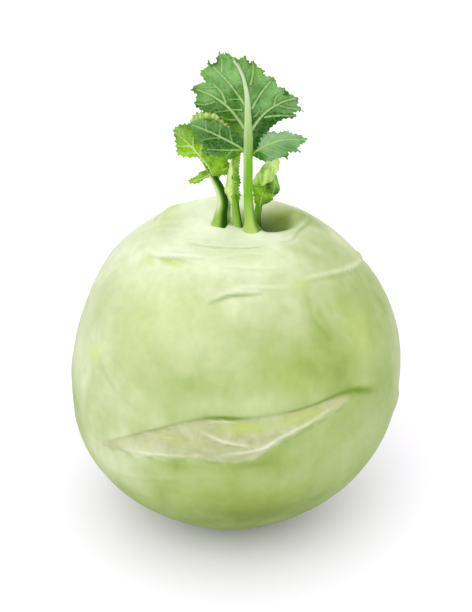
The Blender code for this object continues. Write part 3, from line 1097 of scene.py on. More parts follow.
@dataclass
class Stalk:
    """A leaf stalk. Each of its points is a place, measured from the top of the crown, and a radius.

    The flare is how much wider the stalk is at the crown, and the height over which that fades. Its colour
    is darker down the +X side up to a height and in its folds, which is painted shade, and paler down the -X
    side, which is painted highlight.
    """

    name: str
    nodes: Sequence[str]
    points: Points
    slot: Slot = Slot.LEAF_STALK
    flare: Sequence[float] = (0.0, 1.0)
    flatness: float = 1.0
    groove: float = 0.1
    groove_turn: float = 90.0
    # how much painted shade goes down the stalk's +X side, away from the lamp
    deep_and_shade: float = 0.0
    shade_from: float = 0.2
    shade_until: Sequence[float] = (2.0, 3.0)
    # how much painted highlight goes down the stalk's -X side
    pale: float = 0.0
    fresh: float = 0.0
    streaks: float = 0.0
    crumple: float = 0.0
    rise: Sequence[float] = (0.0, 1.0)
    rings: float = 0.4
    sides: int = 28

    def section(self, turns: np.ndarray) -> np.ndarray:
        """The stalk's outline across, as a share of its radius at each turn, with a groove and low ridges."""
        from_groove = (turns - math.radians(self.groove_turn) + math.pi) % (2.0 * math.pi) - math.pi
        hollow = self.groove * np.exp(-((from_groove / GROOVE_WIDTH) ** 2))
        return 1.0 - hollow + RIDGE_HEIGHT * np.cos(RIDGES * turns)

    def build(self, finish: bpy.types.Material) -> None:
        """Make the stalk.

        Args:
            finish: Its material.
        """
        run = smooth_run(self.points, self.rings)
        extra, fades = self.flare
        run[:, 3] += extra * np.exp(-np.maximum(run[:, 2], -1.0) / fades)
        path = run[:, :3] + crown_top()
        tangents = np.gradient(path, axis=0)
        tangents /= np.linalg.norm(tangents, axis=1, keepdims=True)
        turns = np.linspace(0.0, 2.0 * math.pi, self.sides, endpoint=False)
        shape = self.section(turns)
        across = np.array([1.0, 0.0, 0.0])
        rings = []
        for place, tangent, radius in zip(path, tangents, run[:, 3]):
            across = across - tangent * (across @ tangent)
            across /= np.linalg.norm(across)
            back = np.cross(tangent, across) * self.flatness
            spokes = np.cos(turns)[:, None] * across + np.sin(turns)[:, None] * back
            rings.append(place + spokes * (radius * shape)[:, None])
        places = np.concatenate([*rings, path[:1], path[-1:]])
        count = len(path)
        length = np.concatenate([[0.0], np.cumsum(np.linalg.norm(np.diff(path, axis=0), axis=1))])
        along = np.append(np.repeat(length / length[-1], self.sides), (0.0, 1.0))
        facing = np.append(np.tile(np.cos(turns), count), (0.0, 0.0))
        core = np.concatenate([np.repeat(path, self.sides, axis=0), path[:1], path[-1:]])
        folds = layered_noise(places * (1.0, 1.0, 0.45), 1.3, Bumps.STALK_FOLDS)
        places = core + (places - core) * (1.0 + self.crumple * folds)[:, None]
        places[:, :2] += 0.06 * lattice_noise(places, 1.6, Bumps.STALK_WOBBLE)[:, None]
        foot, tip = count * self.sides, count * self.sides + 1
        faces = []
        for side in range(self.sides):
            after = (side + 1) % self.sides
            last = (count - 1) * self.sides
            faces += [(foot, after, side), (tip, last + side, last + after)]
            for low in range(0, last, self.sides):
                faces.append((low + side, low + after, low + self.sides + after, low + self.sides + side))
        streaks = layered_noise(places * (1.0, 1.0, 0.2), 0.9, Bumps.STALK_STREAKS, 2)
        masks = {
            "rise": self.rise[0] + (self.rise[1] - self.rise[0]) * along,
            # painted shade down the +X side up to a height, and in the dips of the folds
            "deep_and_shade": self.deep_and_shade * smooth_step(self.shade_from, self.shade_from + 0.8, facing)
            * (1.0 - smooth_step(*self.shade_until, along)) + self.crumple * smooth_step(0.1, 0.7, -folds),
            # painted highlight down the -X side, in the stalk finish's pale and the leaf finish's light
            "pale": self.pale * smooth_step(0.1, 0.85, -facing) * smooth_step(0.2, 0.5, along),
            "fresh": self.fresh * (1.0 - 0.5 * smooth_step(0.0, 0.6, folds)),
            "rib": self.streaks * smooth_step(-0.5, 0.3, streaks),
            "light": self.pale * smooth_step(0.1, 0.85, -facing),
        }
        stalk = make_piece(self.name, places, faces, masks)
        stalk.data.materials.append(finish)
        settle(stalk, self.slot, *self.nodes)


# ---------------------------------------------------------------------------------------------------------
# Leaf blades


@dataclass(frozen=True)
class Rib:
    """A rib of a blade: an arc from its foot to its tip that bows out to its left.

    It thins from wide to narrow. The bow is how far out the arc lies at most, which is halfway along at a
    bend of 2, and nearer to the tip above that.
    """

    foot: Sequence[float]
    tip: Sequence[float]
    bow: float
    wide: float
    narrow: float
    bend: float = 2.0

    def run(self, spacing: float = 0.5) -> np.ndarray:
        """The rib's middle line.

        Args:
            spacing: About how far apart its points lie.

        Returns:
            The points, one a row.
        """
        foot = np.array(self.foot, float)
        along = np.array(self.tip, float) - foot
        length = float(np.linalg.norm(along))
        share = np.linspace(0.0, 1.0, max(3, round(length / spacing)))[:, None]
        farthest = self.bend ** (-1.0 / (self.bend - 1.0))
        most = farthest - farthest**self.bend
        left = np.array([-along[1], along[0]]) / length
        return foot + share * along + self.bow / most * (share - share**self.bend) * left


@dataclass(frozen=True)
class Spot:
    """A soft round patch on a blade, or a place where it is pushed back or forward."""

    across: float
    up: float
    reach: float
    weight: float


@dataclass
class Blade:
    """A leaf blade or lobe.

    Its outline and ribs are drawn flat, across and up in millimetres from a start that is measured from the
    top of the crown. The sheet is then tipped back by lean, in degrees, and its surface is moved back and
    forward by the tilt, the fold, the cup, the dents, the ruffle, the crumple, the frill and the puff between
    the ribs.
    """

    name: str
    node: str
    slot: Slot
    start: Sequence[float]
    outline: Points
    ribs: Sequence[Rib]
    lean: float = 0.0
    tilt: Sequence[float] = (0.0, 0.0)
    fold: float = 0.0
    cup: float = 0.0
    dents: Sequence[Spot] = ()
    frill: Points = ()
    # darker spots, partly the leaf's own deep green and partly painted shade where the sheet lies in shadow
    deep_and_shade: Sequence[Spot] = ()
    fresh: Sequence[Spot] = ()
    # lighter patches, partly the blade's bloom and partly painted highlight
    light: Sequence[Spot] = ()
    ruffle: float = 0.35
    ruffle_length: float = 3.0
    crumple: float = 0.25
    crumple_size: float = 3.0
    teeth: float = 0.25
    tooth_length: float = 1.4
    thickness: float = 0.34
    puff: float = 0.25
    # painted shade beside the ribs
    rib_shade: float = 0.3
    rim: float = 0.8
    ribs_forward: bool = True
    spacing: float = 0.27
    seed: int = 1

    def edge(self) -> np.ndarray:
        """The finely drawn outline with its small teeth.

        Returns:
            The outline's points, one a row, going round once.
        """
        run = smooth_run(self.outline, self.spacing * 0.8, closed=True, softness=0.55)
        step = np.roll(run, -1, axis=0) - np.roll(run, 1, axis=0)
        step /= np.linalg.norm(step, axis=1, keepdims=True) + 1e-9
        out = np.column_stack([step[:, 1], -step[:, 0]])
        if self.turning(run) < 0:
            out = -out
        length = np.cumsum(np.linalg.norm(np.roll(run, -1, axis=0) - run, axis=1))
        beat = length / self.tooth_length + 0.6 * lattice_noise(run, 2.5, self.seed)
        tooth = 1.0 - np.abs(np.sin(math.pi * beat)) ** 1.1
        away = np.linalg.norm(run, axis=1)
        size = self.teeth * smooth_step(1.0, 3.5, away) * (1.0 + 0.5 * lattice_noise(run, 4.0, self.seed + 2))
        return run + out * ((tooth - 0.45) * 2.0 * size)[:, None]

    @staticmethod
    def turning(loop: np.ndarray) -> float:
        """Twice the loop's area, positive when it goes round counter-clockwise."""
        after = np.roll(loop, -1, axis=0)
        return float((loop[:, 0] * after[:, 1] - loop[:, 1] * after[:, 0]).sum())

    def fill(self, loop: np.ndarray) -> tuple[np.ndarray, list[tuple[int, int, int]]]:
        """Fill the outline with small triangles.

        Args:
            loop: The outline's points.

        Returns:
            The flat vertices, and the triangles, all facing the same way.
        """
        low, high = loop.min(axis=0), loop.max(axis=0)
        rows = np.arange(low[1], high[1], self.spacing * TRIANGLE_HEIGHT)
        spots = [
            (x + (self.spacing / 2 if index % 2 else 0.0), y)
            for index, y in enumerate(rows)
            for x in np.arange(low[0], high[0], self.spacing)
        ]
        spots = np.array(spots)
        gap, _, _ = nearest_on_line(spots, np.vstack([loop, loop[:1]]))
        spots = spots[self.inside(spots, loop) & (gap > self.spacing * 0.45)]
        count = len(loop)
        verts, _, faces, *_ = delaunay_2d_cdt(
            [Vector(p) for p in np.vstack([loop, spots]).tolist()],
            [(i, (i + 1) % count) for i in range(count)], [], 1, 1e-5,
        )
        flat = np.array([tuple(v) for v in verts])
        triangles = []
        for face in faces:
            a, b, c = (flat[i] for i in face[:3])
            area = (b[0] - a[0]) * (c[1] - a[1]) - (b[1] - a[1]) * (c[0] - a[0])
            if abs(area) > 1e-7:
                triangles.append(tuple(face) if area > 0 else (face[0], face[2], face[1]))
        used = np.unique(np.array(triangles))
        renumber = np.full(len(flat), -1)
        renumber[used] = np.arange(len(used))
        return flat[used], [tuple(int(renumber[i]) for i in face) for face in triangles]

    @staticmethod
    def inside(spots: np.ndarray, loop: np.ndarray) -> np.ndarray:
        """Which spots lie inside a loop."""
        result = np.zeros(len(spots), bool)
        for start, end in zip(loop, np.roll(loop, -1, axis=0)):
            crosses = (start[1] > spots[:, 1]) != (end[1] > spots[:, 1])
            with np.errstate(divide="ignore", invalid="ignore"):
                at = start[0] + (spots[:, 1] - start[1]) / (end[1] - start[1]) * (end[0] - start[0])
            result ^= crosses & (spots[:, 0] < at)
        return result

    def rib_height(self, flat: np.ndarray) -> tuple[np.ndarray, np.ndarray, np.ndarray]:
        """How strongly each place is part of a rib.

        Args:
            flat: The flat vertices.

        Returns:
            The rib mask, the rib's height, and the distance to the nearest rib's edge.
        """
        mask = np.zeros(len(flat))
        height = np.zeros(len(flat))
        gap = np.full(len(flat), 9.0)
        for rib in self.ribs:
            distance, share, _ = nearest_on_line(flat, rib.run())
            half = 0.5 * (rib.wide + (rib.narrow - rib.wide) * share)
            drawn = np.maximum(half, 0.62 * self.spacing)
            mask = np.maximum(mask, 0.88 * half / drawn * (1.0 - smooth_step(0.45, 1.25, distance / drawn)))
            height = np.maximum(height, 1.15 * half * np.exp(-((distance / (drawn * 1.05)) ** 2)))
            gap = np.minimum(gap, np.maximum(distance - half, 0.0))
        return mask, height, gap

    def depth(self, flat: np.ndarray, from_edge: np.ndarray, gap: np.ndarray) -> np.ndarray:
        """How far back each place lies.

        Args:
            flat: The flat vertices.
            from_edge: Their distances to the outline.
            gap: Their distances to the nearest rib.

        Returns:
            The depth, positive away from the front.
        """
        reach, _, _ = nearest_on_line(flat, self.ribs[0].run())
        widest = float(reach.max())
        depth = self.fold * reach + self.cup * (reach / widest) ** 2
        depth = depth + flat @ np.array(self.tilt)
        for dent in self.dents:
            away = np.hypot(flat[:, 0] - dent.across, flat[:, 1] - dent.up) / dent.reach
            depth = depth + dent.weight * np.exp(-(away**2))
        wave = lattice_noise(flat, self.ruffle_length, self.seed + 3) * 1.6
        depth = depth + self.ruffle * wave * np.exp(-from_edge / (self.ruffle_length * 0.6))
        depth = depth + self.crumple * layered_noise(flat, self.crumple_size, self.seed + 9, 3)
        near, wave = self.frilled(flat)
        depth = depth + near * (0.4 * wave - 0.5)
        hollow = self.puff * (1.0 - np.exp(-((gap / 1.1) ** 2)))
        return depth + (hollow if self.ribs_forward else -hollow)

    def frilled(self, flat: np.ndarray) -> tuple[np.ndarray, np.ndarray]:
        """The frill along part of the margin.

        Args:
            flat: The flat vertices.

        Returns:
            How near each place is to the frill, 0 to 1, and the frill's wave there, -1 to 1.
        """
        if not self.frill:
            return np.zeros(len(flat)), np.zeros(len(flat))
        run = smooth_run(self.frill, 0.5)
        distance, share, _ = nearest_on_line(flat, run)
        length = float(np.linalg.norm(np.diff(run, axis=0), axis=1).sum())
        beat = 2.0 * math.pi * share * length / FRILL_WAVE + 2.5 * lattice_noise(flat, 1.6, self.seed + 21)
        return np.exp(-((distance / FRILL_REACH) ** 4)), np.sin(beat)

    def spread(self, flat: np.ndarray, spots: Sequence[Spot]) -> np.ndarray:
        """How much of some soft patches lies on each place."""
        total = np.zeros(len(flat))
        for spot in spots:
            away = np.hypot(flat[:, 0] - spot.across, flat[:, 1] - spot.up) / spot.reach
            total += spot.weight * np.exp(-(away**2))
        return np.clip(total * (1.0 + 0.3 * layered_noise(flat, 2.5, self.seed + 5, 2)), 0.0, 1.0)

    def stand(self, flat: np.ndarray, depth: np.ndarray) -> np.ndarray:
        """Stand the flat sheet up at its place.

        Args:
            flat: The flat vertices.
            depth: How far back each lies.

        Returns:
            The places in millimetres.
        """
        lean = math.radians(self.lean)
        right = np.array([1.0, 0.0, 0.0])
        up = np.array([0.0, math.sin(lean), math.cos(lean)])
        back = np.array(DEPTH_LINE)
        origin = crown_top() + np.array(self.start)
        return origin + flat[:, :1] * right + flat[:, 1:] * up + depth[:, None] * back

    def build(self, finish: bpy.types.Material) -> None:
        """Make the blade.

        Args:
            finish: Its material.
        """
        loop = self.edge()
        flat, triangles = self.fill(loop)
        from_edge, _, _ = nearest_on_line(flat, np.vstack([loop, loop[:1]]))
        mask, height, gap = self.rib_height(flat)
        middle = self.stand(flat, self.depth(flat, from_edge, gap))
        corners = np.array(triangles)
        sheet = middle[corners]
        across = np.cross(sheet[:, 1] - sheet[:, 0], sheet[:, 2] - sheet[:, 0])
        normals = np.zeros_like(middle)
        for corner in range(3):
            np.add.at(normals, corners[:, corner], across)
        normals /= np.linalg.norm(normals, axis=1, keepdims=True) + 1e-12
        thin = 0.5 * self.thickness * (0.45 + 0.55 * smooth_step(0.0, 0.5, from_edge))
        proud = height * smooth_step(-0.1, 0.3, from_edge)
        sunk = -SUNK_SHARE * proud
        front, back = (thin + proud, thin + sunk) if self.ribs_forward else (thin + sunk, thin + proud)
        places = np.vstack([middle + normals * front[:, None], middle - normals * back[:, None]])
        count = len(middle)
        faces = [tuple(face) for face in triangles]
        faces += [(a + count, c + count, b + count) for a, b, c in triangles]
        open_edges = {}
        for a, b, c in triangles:
            for start, end in ((a, b), (b, c), (c, a)):
                if (end, start) in open_edges:
                    del open_edges[(end, start)]
                else:
                    open_edges[(start, end)] = True
        faces += [(end, start, start + count, end + count) for start, end in open_edges]
        near, wave = self.frilled(flat)
        fresh = np.maximum(self.spread(flat, self.fresh), near)
        patchy = smooth_step(0.05, 0.5, lattice_noise(flat, 1.7, self.seed + 40))
        tips = patchy * np.exp(-((from_edge / 0.5) ** 2))
        # darker spots, the margin's patchy tips, and painted shade beside the ribs and in the frill's folds
        deep_and_shade = self.spread(flat, self.deep_and_shade) + self.rib_shade * np.exp(-((gap / 0.45) ** 2)) + self.rim * tips
        deep_and_shade = deep_and_shade * (1.0 - near) + 0.25 * near * smooth_step(0.7, 1.0, wave)
        pale = np.clip(0.95 + 0.4 * lattice_noise(flat, 0.9, self.seed + 50), 0.0, 1.0)
        mask = np.maximum(mask, near * pale)
        masks = {name: np.tile(values, 2) for name, values in
                 (("rib", mask), ("deep_and_shade", deep_and_shade), ("fresh", fresh), ("light", self.spread(flat, self.light)))}
        blade = make_piece(self.name, places, faces, masks)
        blade.data.materials.append(finish)
        settle(blade, self.slot, *filter(None, (self.node,)))


# ---------------------------------------------------------------------------------------------------------
# The crown of leaves


@dataclass
class FrontLeaf:
    """The tallest leaf: its stalk and midrib, its toothed blade, and the two lobes at the blade's foot."""

    blade_foot: Sequence[float] = (3.5, -3.5, 28.5)
    lean: float = 8.0
    midrib: Rib = Rib((0, -3), (-4, 22.5), -2.1, 1.2, 0.5, bend=5.0)
    midrib_radius: float = 1.25
    midrib_forward: float = 0.15
    midrib_slope: float = 0.045
    midrib_taper: float = 0.84
    midrib_spacing: float = 3.0
    midrib_start: float = 2.0

    def stalk(self) -> Stalk:
        """The stalk, from its flared foot up to the end of the midrib.

        Returns:
            The stalk.
        """
        lean = math.radians(self.lean)
        foot_x, foot_y, foot_z = self.blade_foot
        length = self.midrib.tip[1]
        rib = [
            (foot_x + across,
             foot_y - self.midrib_forward - self.midrib_slope * up + up * math.sin(lean),
             foot_z + up * math.cos(lean),
             self.midrib_radius * (1.0 - self.midrib_taper * up / length))
            for across, up in self.midrib.run(self.midrib_spacing) if up > self.midrib_start
        ]
        points = [(4.5, -2.5, -3, 1.3), (4.5, -2.5, 0, 1.3), (4, -3.5, 4.5, 1.3), (3.5, -3.5, 13, 1.3),
                  (foot_x, foot_y, foot_z, 1.25), *rib]
        return Stalk("front_stalk", ("front_leaf_stalk",), points, flare=(1.65, 2.3),
        deep_and_shade=0.9, shade_from=0.35,
                     shade_until=(0.14, 0.32), pale=0.6)

    def blade(self) -> Blade:
        """The blade, whose back faces forward with its ribs standing proud.

        Returns:
            The blade.
        """
        return Blade(
            "front_blade", "front_leaf_blade", Slot.LEAF_BLADE, self.blade_foot,
            outline=(
                (-2, -3), (-6, 3.5), (-11, 6), (-13, 7.5), (-12.5, 8.5), (-14.5, 10), (-14, 13),
                (-15.5, 14.5),
                (-13.5, 16), (-11.5, 16.5), (-13, 18.5), (-12.5, 20), (-11, 20.5), (-11, 22.5), (-9.5, 21.5),
                (-8.5, 22.5), (-8, 24.5), (-6.5, 24), (-6, 24.5), (-4, 23), (-2.5, 22.5), (-1, 23.5),
                (0.5, 21.5),
                (1.5, 22.5), (2, 21), (4.5, 19.5), (4, 18.5), (5, 18), (7, 17.5), (8, 15), (9.5, 15),
                (11, 13.5),
                (13.5, 12), (13.5, 10), (15, 8.5), (12.5, 8), (13, 6.5), (9.5, 6), (6, 3.5), (4, 0),
                (2.5, -3),
                (1, -4), (-1, -4),
            ),
            ribs=(
                self.midrib,
                Rib((1, 3), (13, 12), 1.8, 0.75, 0.3), Rib((4.5, 6.5), (13, 7), 0.2, 0.4, 0.24),
                Rib((7, 10), (9.5, 13.5), 0.8, 0.36, 0.2), Rib((8, 10), (14, 9), -0.3, 0.28, 0.18),
                Rib((1, 9), (6, 16.5), 0.3, 0.55, 0.3), Rib((0.5, 15.5), (1, 21.5), -0.4, 0.42, 0.26),
                Rib((-1, 3.5), (-14, 14.5), -1.7, 0.85, 0.28), Rib((-6, 10.5), (-9.5, 16), -0.5, 0.42, 0.22),
                Rib((-8.5, 15), (-12, 15), 0, 0.24, 0.16), Rib((-9, 11), (-14, 10.5), 0.4, 0.34, 0.22),
                Rib((-1, 10), (-9.5, 20.5), -0.5, 0.55, 0.24), Rib((-7, 19), (-7, 22.5), 0, 0.34, 0.24),
                Rib((-1.5, 11.5), (-5.5, 11.5), 0, 0.26, 0.18), Rib((-1.5, 8.5), (-9.5, 8), -0.3, 0.28, 0.18),
                Rib((-3, 6), (-7.5, 7), 0.4, 0.26, 0.16), Rib((1.5, 6.5), (3, 9), -0.3, 0.22, 0.16),
            ),
            lean=self.lean, fold=0.05, cup=3.2,
            dents=(Spot(-4.5, 18.5, 3.6, -1.0), Spot(-9.2, 21.8, 1.4, 1.6), Spot(5.0, 2.5, 3.0, 1.6),
                   Spot(-3.4, 13.0, 2.2, 0.7), Spot(3.0, 14.2, 1.8, 0.7), Spot(6.5, 8.6, 2.0, 0.6),
                   Spot(-9.5, 5.0, 4.5, 3.0), Spot(-5.0, 3.0, 3.4, 3.0), Spot(3.2, -2.0, 3.0, 1.6)),
            deep_and_shade=(Spot(-6.5, 7.0, 2.6, 0.75), Spot(-4.2, 5.0, 2.6, 0.85), Spot(-10.5, 8.0, 2.6, 0.7),
                  Spot(-3.4, 9.8, 1.6, 0.55), Spot(-3.6, 12.4, 1.4, 0.5), Spot(4.2, 3.6, 3.4, 1.3),
                  Spot(2.6, -1.2, 2.8, 1.3), Spot(7.8, 5.2, 2.6, 1.2), Spot(9.6, 6.4, 1.2, 0.6),
                  Spot(9.4, 10.4, 3.0, 0.3), Spot(4.2, 12.4, 2.0, 0.3), Spot(2.2, 16.0, 1.6, 0.3),
                  Spot(-9.0, 21.6, 1.3, 1.0), Spot(-11.0, 22.6, 0.9, 0.9), Spot(1.6, 6.6, 1.4, 0.75),
                  Spot(2.0, 11.0, 1.0, 0.45), Spot(10.4, 13.4, 1.0, 0.8), Spot(0.9, 21.2, 0.7, 0.9),
                  Spot(4.6, 19.0, 0.8, 0.7), Spot(-14.8, 14.4, 0.9, 0.8), Spot(-14.4, 10.2, 1.0, 0.7),
                  Spot(-5.8, 24.4, 0.5, 0.9), Spot(1.4, 14.0, 1.0, 0.4), Spot(12.6, 6.8, 0.8, 0.6)),
            fresh=(Spot(2.6, 19.6, 1.6, 0.6), Spot(-8.6, 20.2, 0.8, 0.5), Spot(-6.5, 5.4, 2.4, 0.6),
                   Spot(-11.4, 7.2, 1.6, 0.7), Spot(7.0, 17.0, 0.8, 0.4), Spot(-13.0, 16.6, 1.2, 0.5),
                   Spot(-12.4, 19.0, 1.0, 0.5), Spot(-2.6, 3.0, 1.6, 0.6)),
            light=(Spot(-4.6, 20.0, 3.0, 0.15), Spot(-3.0, 16.6, 2.0, 0.4), Spot(-10.6, 14.4, 1.8, 0.7),
                   Spot(-8.6, 18.6, 1.6, 0.5), Spot(8.4, 13.0, 1.6, 0.6), Spot(10.6, 9.6, 2.0, 0.5),
                   Spot(-12.0, 11.8, 1.4, 0.5), Spot(8.6, 8.2, 1.2, 0.3), Spot(2.4, 17.6, 1.4, 0.3),
                   Spot(5.6, 12.6, 1.4, 0.3)),
            ruffle=0.5, ruffle_length=3.4, crumple=0.3, crumple_size=3.4, puff=0.8, rib_shade=0.5, seed=4,
        )

    def left_lobe(self) -> Blade:
        """The dark lobe that reaches forward on the left.

        Returns:
            The lobe.
        """
        return Blade(
            "front_left_lobe", "front_leaf_left_lobe", Slot.LEAF_BLADE, (2.5, -3.5, 25.5),
            outline=(
                (0, 0.5), (-2, 5), (-4.5, 6.5), (-8, 8.5), (-10, 9), (-13, 8.5), (-14.5, 7.5), (-14, 5),
                (-13, 4),
                (-12.5, 1.5), (-11, 2), (-11.5, -1), (-9, -2), (-6, -2.5), (-4.5, -3), (-2.5, -2.5),
                (-0.5, -0.5),
            ),
            ribs=(
                Rib((0, 0), (-14, 7), -0.4, 0.7, 0.3), Rib((-1, 0), (-10, 0), 0.1, 0.42, 0.2),
                Rib((-6.5, 3.5), (-6.5, 7), 0.3, 0.22, 0.14), Rib((-10, 5), (-10.5, 8.5), 0.3, 0.22, 0.14),
                Rib((-6.5, 3.5), (-12, 2.5), -0.2, 0.22, 0.14), Rib((-3, 1.5), (-4, 6), 0.3, 0.22, 0.14),
                Rib((-3, 0), (-5, -2.5), -0.2, 0.24, 0.14),
            ),
            tilt=(0.34, 0.1), cup=1.4,
            deep_and_shade=(Spot(-4.5, 3.5, 5.0, 0.95), Spot(-3.5, -0.5, 4.0, 0.8), Spot(-9, 1, 2.4, 0.7),
                  Spot(-12, 5, 3.5, 0.45)),
            fresh=(Spot(-5.0, -2.8, 2.2, 0.6), Spot(-1.0, -0.8, 1.5, 0.6)),
            ruffle=0.5, crumple=0.35, puff=0.5, rib_shade=0.2, seed=11,
        )

    def right_lobe(self) -> Blade:
        """The blue-green lobe that reaches forward on the right.

        Returns:
            The lobe.
        """
        return Blade(
            "front_right_lobe", "front_leaf_right_lobe", Slot.LEAF_BLADE, (4.5, -3.5, 24),
            outline=(
                (0, 0), (1.5, 2), (2.5, 5), (4, 6.5), (5.5, 7), (7, 6.5), (9.5, 7), (11, 6), (13, 5.5),
                (15, 4),
                (12.5, 2), (13, 0.5), (10, 0.5), (10, -1.5), (8, -1), (5.5, -2), (3, -2), (0.5, -0.5),
            ),
            ribs=(
                Rib((0, 0), (14.5, 4), 1.9, 0.55, 0.28), Rib((4, 3), (7, 6), 0.4, 0.24, 0.14),
                Rib((7.5, 4), (10.5, 6), 0.2, 0.22, 0.14), Rib((3, 2), (8, 0), 0.4, 0.24, 0.14),
                Rib((5.5, 3.5), (11.5, 1), -0.2, 0.24, 0.14), Rib((2, 1.5), (6, -1), -0.2, 0.22, 0.14),
            ),
            tilt=(-0.36, 0.12), cup=1.6,
            deep_and_shade=(Spot(1.6, 0.0, 1.6, 0.9), Spot(2.6, -1.2, 1.6, 0.9), Spot(9.4, -1.0, 1.2, 0.7),
                  Spot(6.5, 1.6, 3.0, 0.35), Spot(10.5, 2.4, 2.2, 0.45), Spot(13.8, 3.4, 1.0, 0.5)),
            fresh=(Spot(14.4, 4.2, 0.8, 0.5),),
            light=(Spot(5.5, 5.2, 2.6, 0.8), Spot(9.5, 5.2, 2.4, 0.6), Spot(7.0, 0.6, 1.8, 0.3)),
            ruffle=0.5, crumple=0.3, puff=0.35, rib_shade=0.15, rim=0.5, ribs_forward=False, seed=17,
        )

    def build(self, stalk_finish: bpy.types.Material, back_finish: bpy.types.Material,
              face_finish: bpy.types.Material) -> None:
        """Make the leaf.

        Args:
            stalk_finish: The stalk's material.
            back_finish: The blade's material, and the left lobe's.
            face_finish: The right lobe's material.
        """
        self.stalk().build(stalk_finish)
        self.blade().build(back_finish)
        self.left_lobe().build(back_finish)
        self.right_lobe().build(face_finish)


@dataclass
class LeftLeaf:
    """The leaf on the left: its bent stalk, its blade with a frilled top margin, and two small lobes."""

    def stalk(self) -> Stalk:
        """The stalk, which bends over to the left at its top.

        Returns:
            The stalk.
        """
        return Stalk(
            "left_stalk", ("left_leaf_stalk",),
            points=(
                (-5, 0, -3, 1.4), (-4.5, 0, 0.5, 1.4), (-4, 0.5, 4, 1.4), (-3.5, 1, 7.5, 1.4),
                (-4.5, 2, 11, 1.3),
                (-5.5, 2.5, 13, 1.15), (-8, 3, 17, 0.7), (-9.5, 3, 20, 0.5),
            ),
            flare=(1.2, 3.0), deep_and_shade=1.0, shade_from=-0.4, shade_until=(0.8, 1.0), pale=1.8, rise=(0.15, 0.42),
        )

    def blade(self) -> Blade:
        """The blade.

        Returns:
            The blade.
        """
        return Blade(
            "left_blade", "left_leaf_blade", Slot.YOUNG_LEAF, (-6.5, 3, 14.5),
            outline=(
                (1, -1.5), (-1.5, 3), (-3, 4.5), (-4, 5.5), (-7.5, 5.5), (-9.5, 6.5), (-10, 11),
                (-10.5, 13.5),
                (-10, 14.5), (-8, 15.5), (-6, 15.5), (-5.5, 17), (-4.5, 18.5), (-3, 19), (1, 18.5), (4.5, 16),
                (8, 13.5), (8, 11), (4.5, 4.5), (3, 1), (2, -1),
            ),
            ribs=(
                Rib((0.5, -1), (-10, 13), -1.2, 0.7, 0.28), Rib((-3, 5), (-2.5, 9.5), 0.2, 0.3, 0.16),
                Rib((-5, 8), (-5, 11.5), 0.1, 0.5, 0.26), Rib((-4, 7), (-8.5, 7), 0.2, 0.24, 0.14),
                Rib((-5.5, 9), (-9.5, 9), 0, 0.32, 0.2), Rib((-6.5, 10), (-8, 14), 0.3, 0.26, 0.16),
            ),
            cup=1.6, tilt=(-0.05, -0.2),
            frill=((-5, 17), (-2.5, 18), (0.5, 18), (3, 16.5), (7, 13.5)),
            dents=(Spot(1.2, 1.6, 1.8, -1.6), Spot(2.6, 3.6, 1.2, -1.0), Spot(0.8, 4.8, 0.9, 0.7),
                   Spot(-0.8, 2.8, 0.8, -0.7), Spot(-7.2, 7.8, 1.2, 0.6)),
            deep_and_shade=(Spot(-1.5, 13.0, 4.0, 0.6), Spot(-6.4, 14.8, 1.4, 0.6), Spot(-8.6, 15.0, 0.8, 0.5),
                  Spot(-6.8, 6.4, 1.4, 0.4), Spot(-3.6, 9.6, 1.2, 0.4), Spot(2.6, 2.0, 1.2, 0.6),
                  Spot(-1.2, 1.6, 0.8, 0.4), Spot(3.4, 5.0, 1.4, 0.6), Spot(0.8, 4.8, 0.9, 0.5),
                  Spot(-0.6, 6.6, 1.0, 0.4)),
            fresh=(Spot(-7.2, 7.4, 2.4, 1.0), Spot(-6.2, 6.0, 2.4, 1.1), Spot(-3.6, 8.0, 1.8, 0.8),
                   Spot(1.2, 3.4, 4.2, 1.1), Spot(-6.5, 13.0, 1.6, 0.4)),
            light=(Spot(-8.8, 12.4, 1.8, 0.7), Spot(-6.0, 11.6, 1.4, 0.4), Spot(0.6, 2.6, 1.1, 0.7)),
            ruffle=0.6, ruffle_length=2.6, crumple=0.5, crumple_size=2.8, puff=0.5, seed=23,
        )

    def lobes(self) -> Sequence[Blade]:
        """The small lobes on the stalk.

        Returns:
            The outer lobe and the inner lobe.
        """
        outer = Blade(
            "left_outer_lobe", "left_leaf_outer_lobe", Slot.YOUNG_LEAF, (-8, 2, 16),
            outline=((1, 0.5), (-0.5, 0.5), (-2, 0), (-2.5, -1), (-5, -2.5), (-4.5, -3.5), (-2, -3.5),
                     (-0.5, -2), (1, -1.5), (1.5, -0.5)),
            ribs=(Rib((1, -0.5), (-4.5, -3), 0.3, 0.4, 0.2),),
            tilt=(0.2, 0.0), deep_and_shade=(Spot(-0.8, -0.4, 0.6, 0.9), Spot(-2.0, -2.2, 0.8, 0.4)),
            fresh=(Spot(-2.5, -2.0, 3.0, 0.7),), ruffle=0.4, ruffle_length=1.8, crumple=0.4, crumple_size=1.8,
            teeth=0.16, tooth_length=1.1, spacing=0.22, seed=31,
        )
        inner = Blade(
            "left_inner_lobe", "left_leaf_inner_lobe", Slot.YOUNG_LEAF, (-6, 3, 15),
            outline=((-0.5, -0.5), (0.5, 2), (2, 3), (4.5, 3.5), (5, 2.5), (5, 0.5), (3, -0.5), (1, 0)),
            ribs=(Rib((0, 0), (4.5, 2), 0.2, 0.4, 0.2),),
            deep_and_shade=(Spot(3.6, 2.9, 0.6, 0.9), Spot(4.5, 1.2, 0.6, 0.9), Spot(1.6, 0.6, 0.5, 0.4)),
            fresh=(Spot(1.6, 1.0, 2.4, 0.9),), ruffle=0.5, ruffle_length=1.5, crumple=0.7, crumple_size=1.6,
            teeth=0.22, tooth_length=1.0, spacing=0.22, seed=37,
        )
        return outer, inner

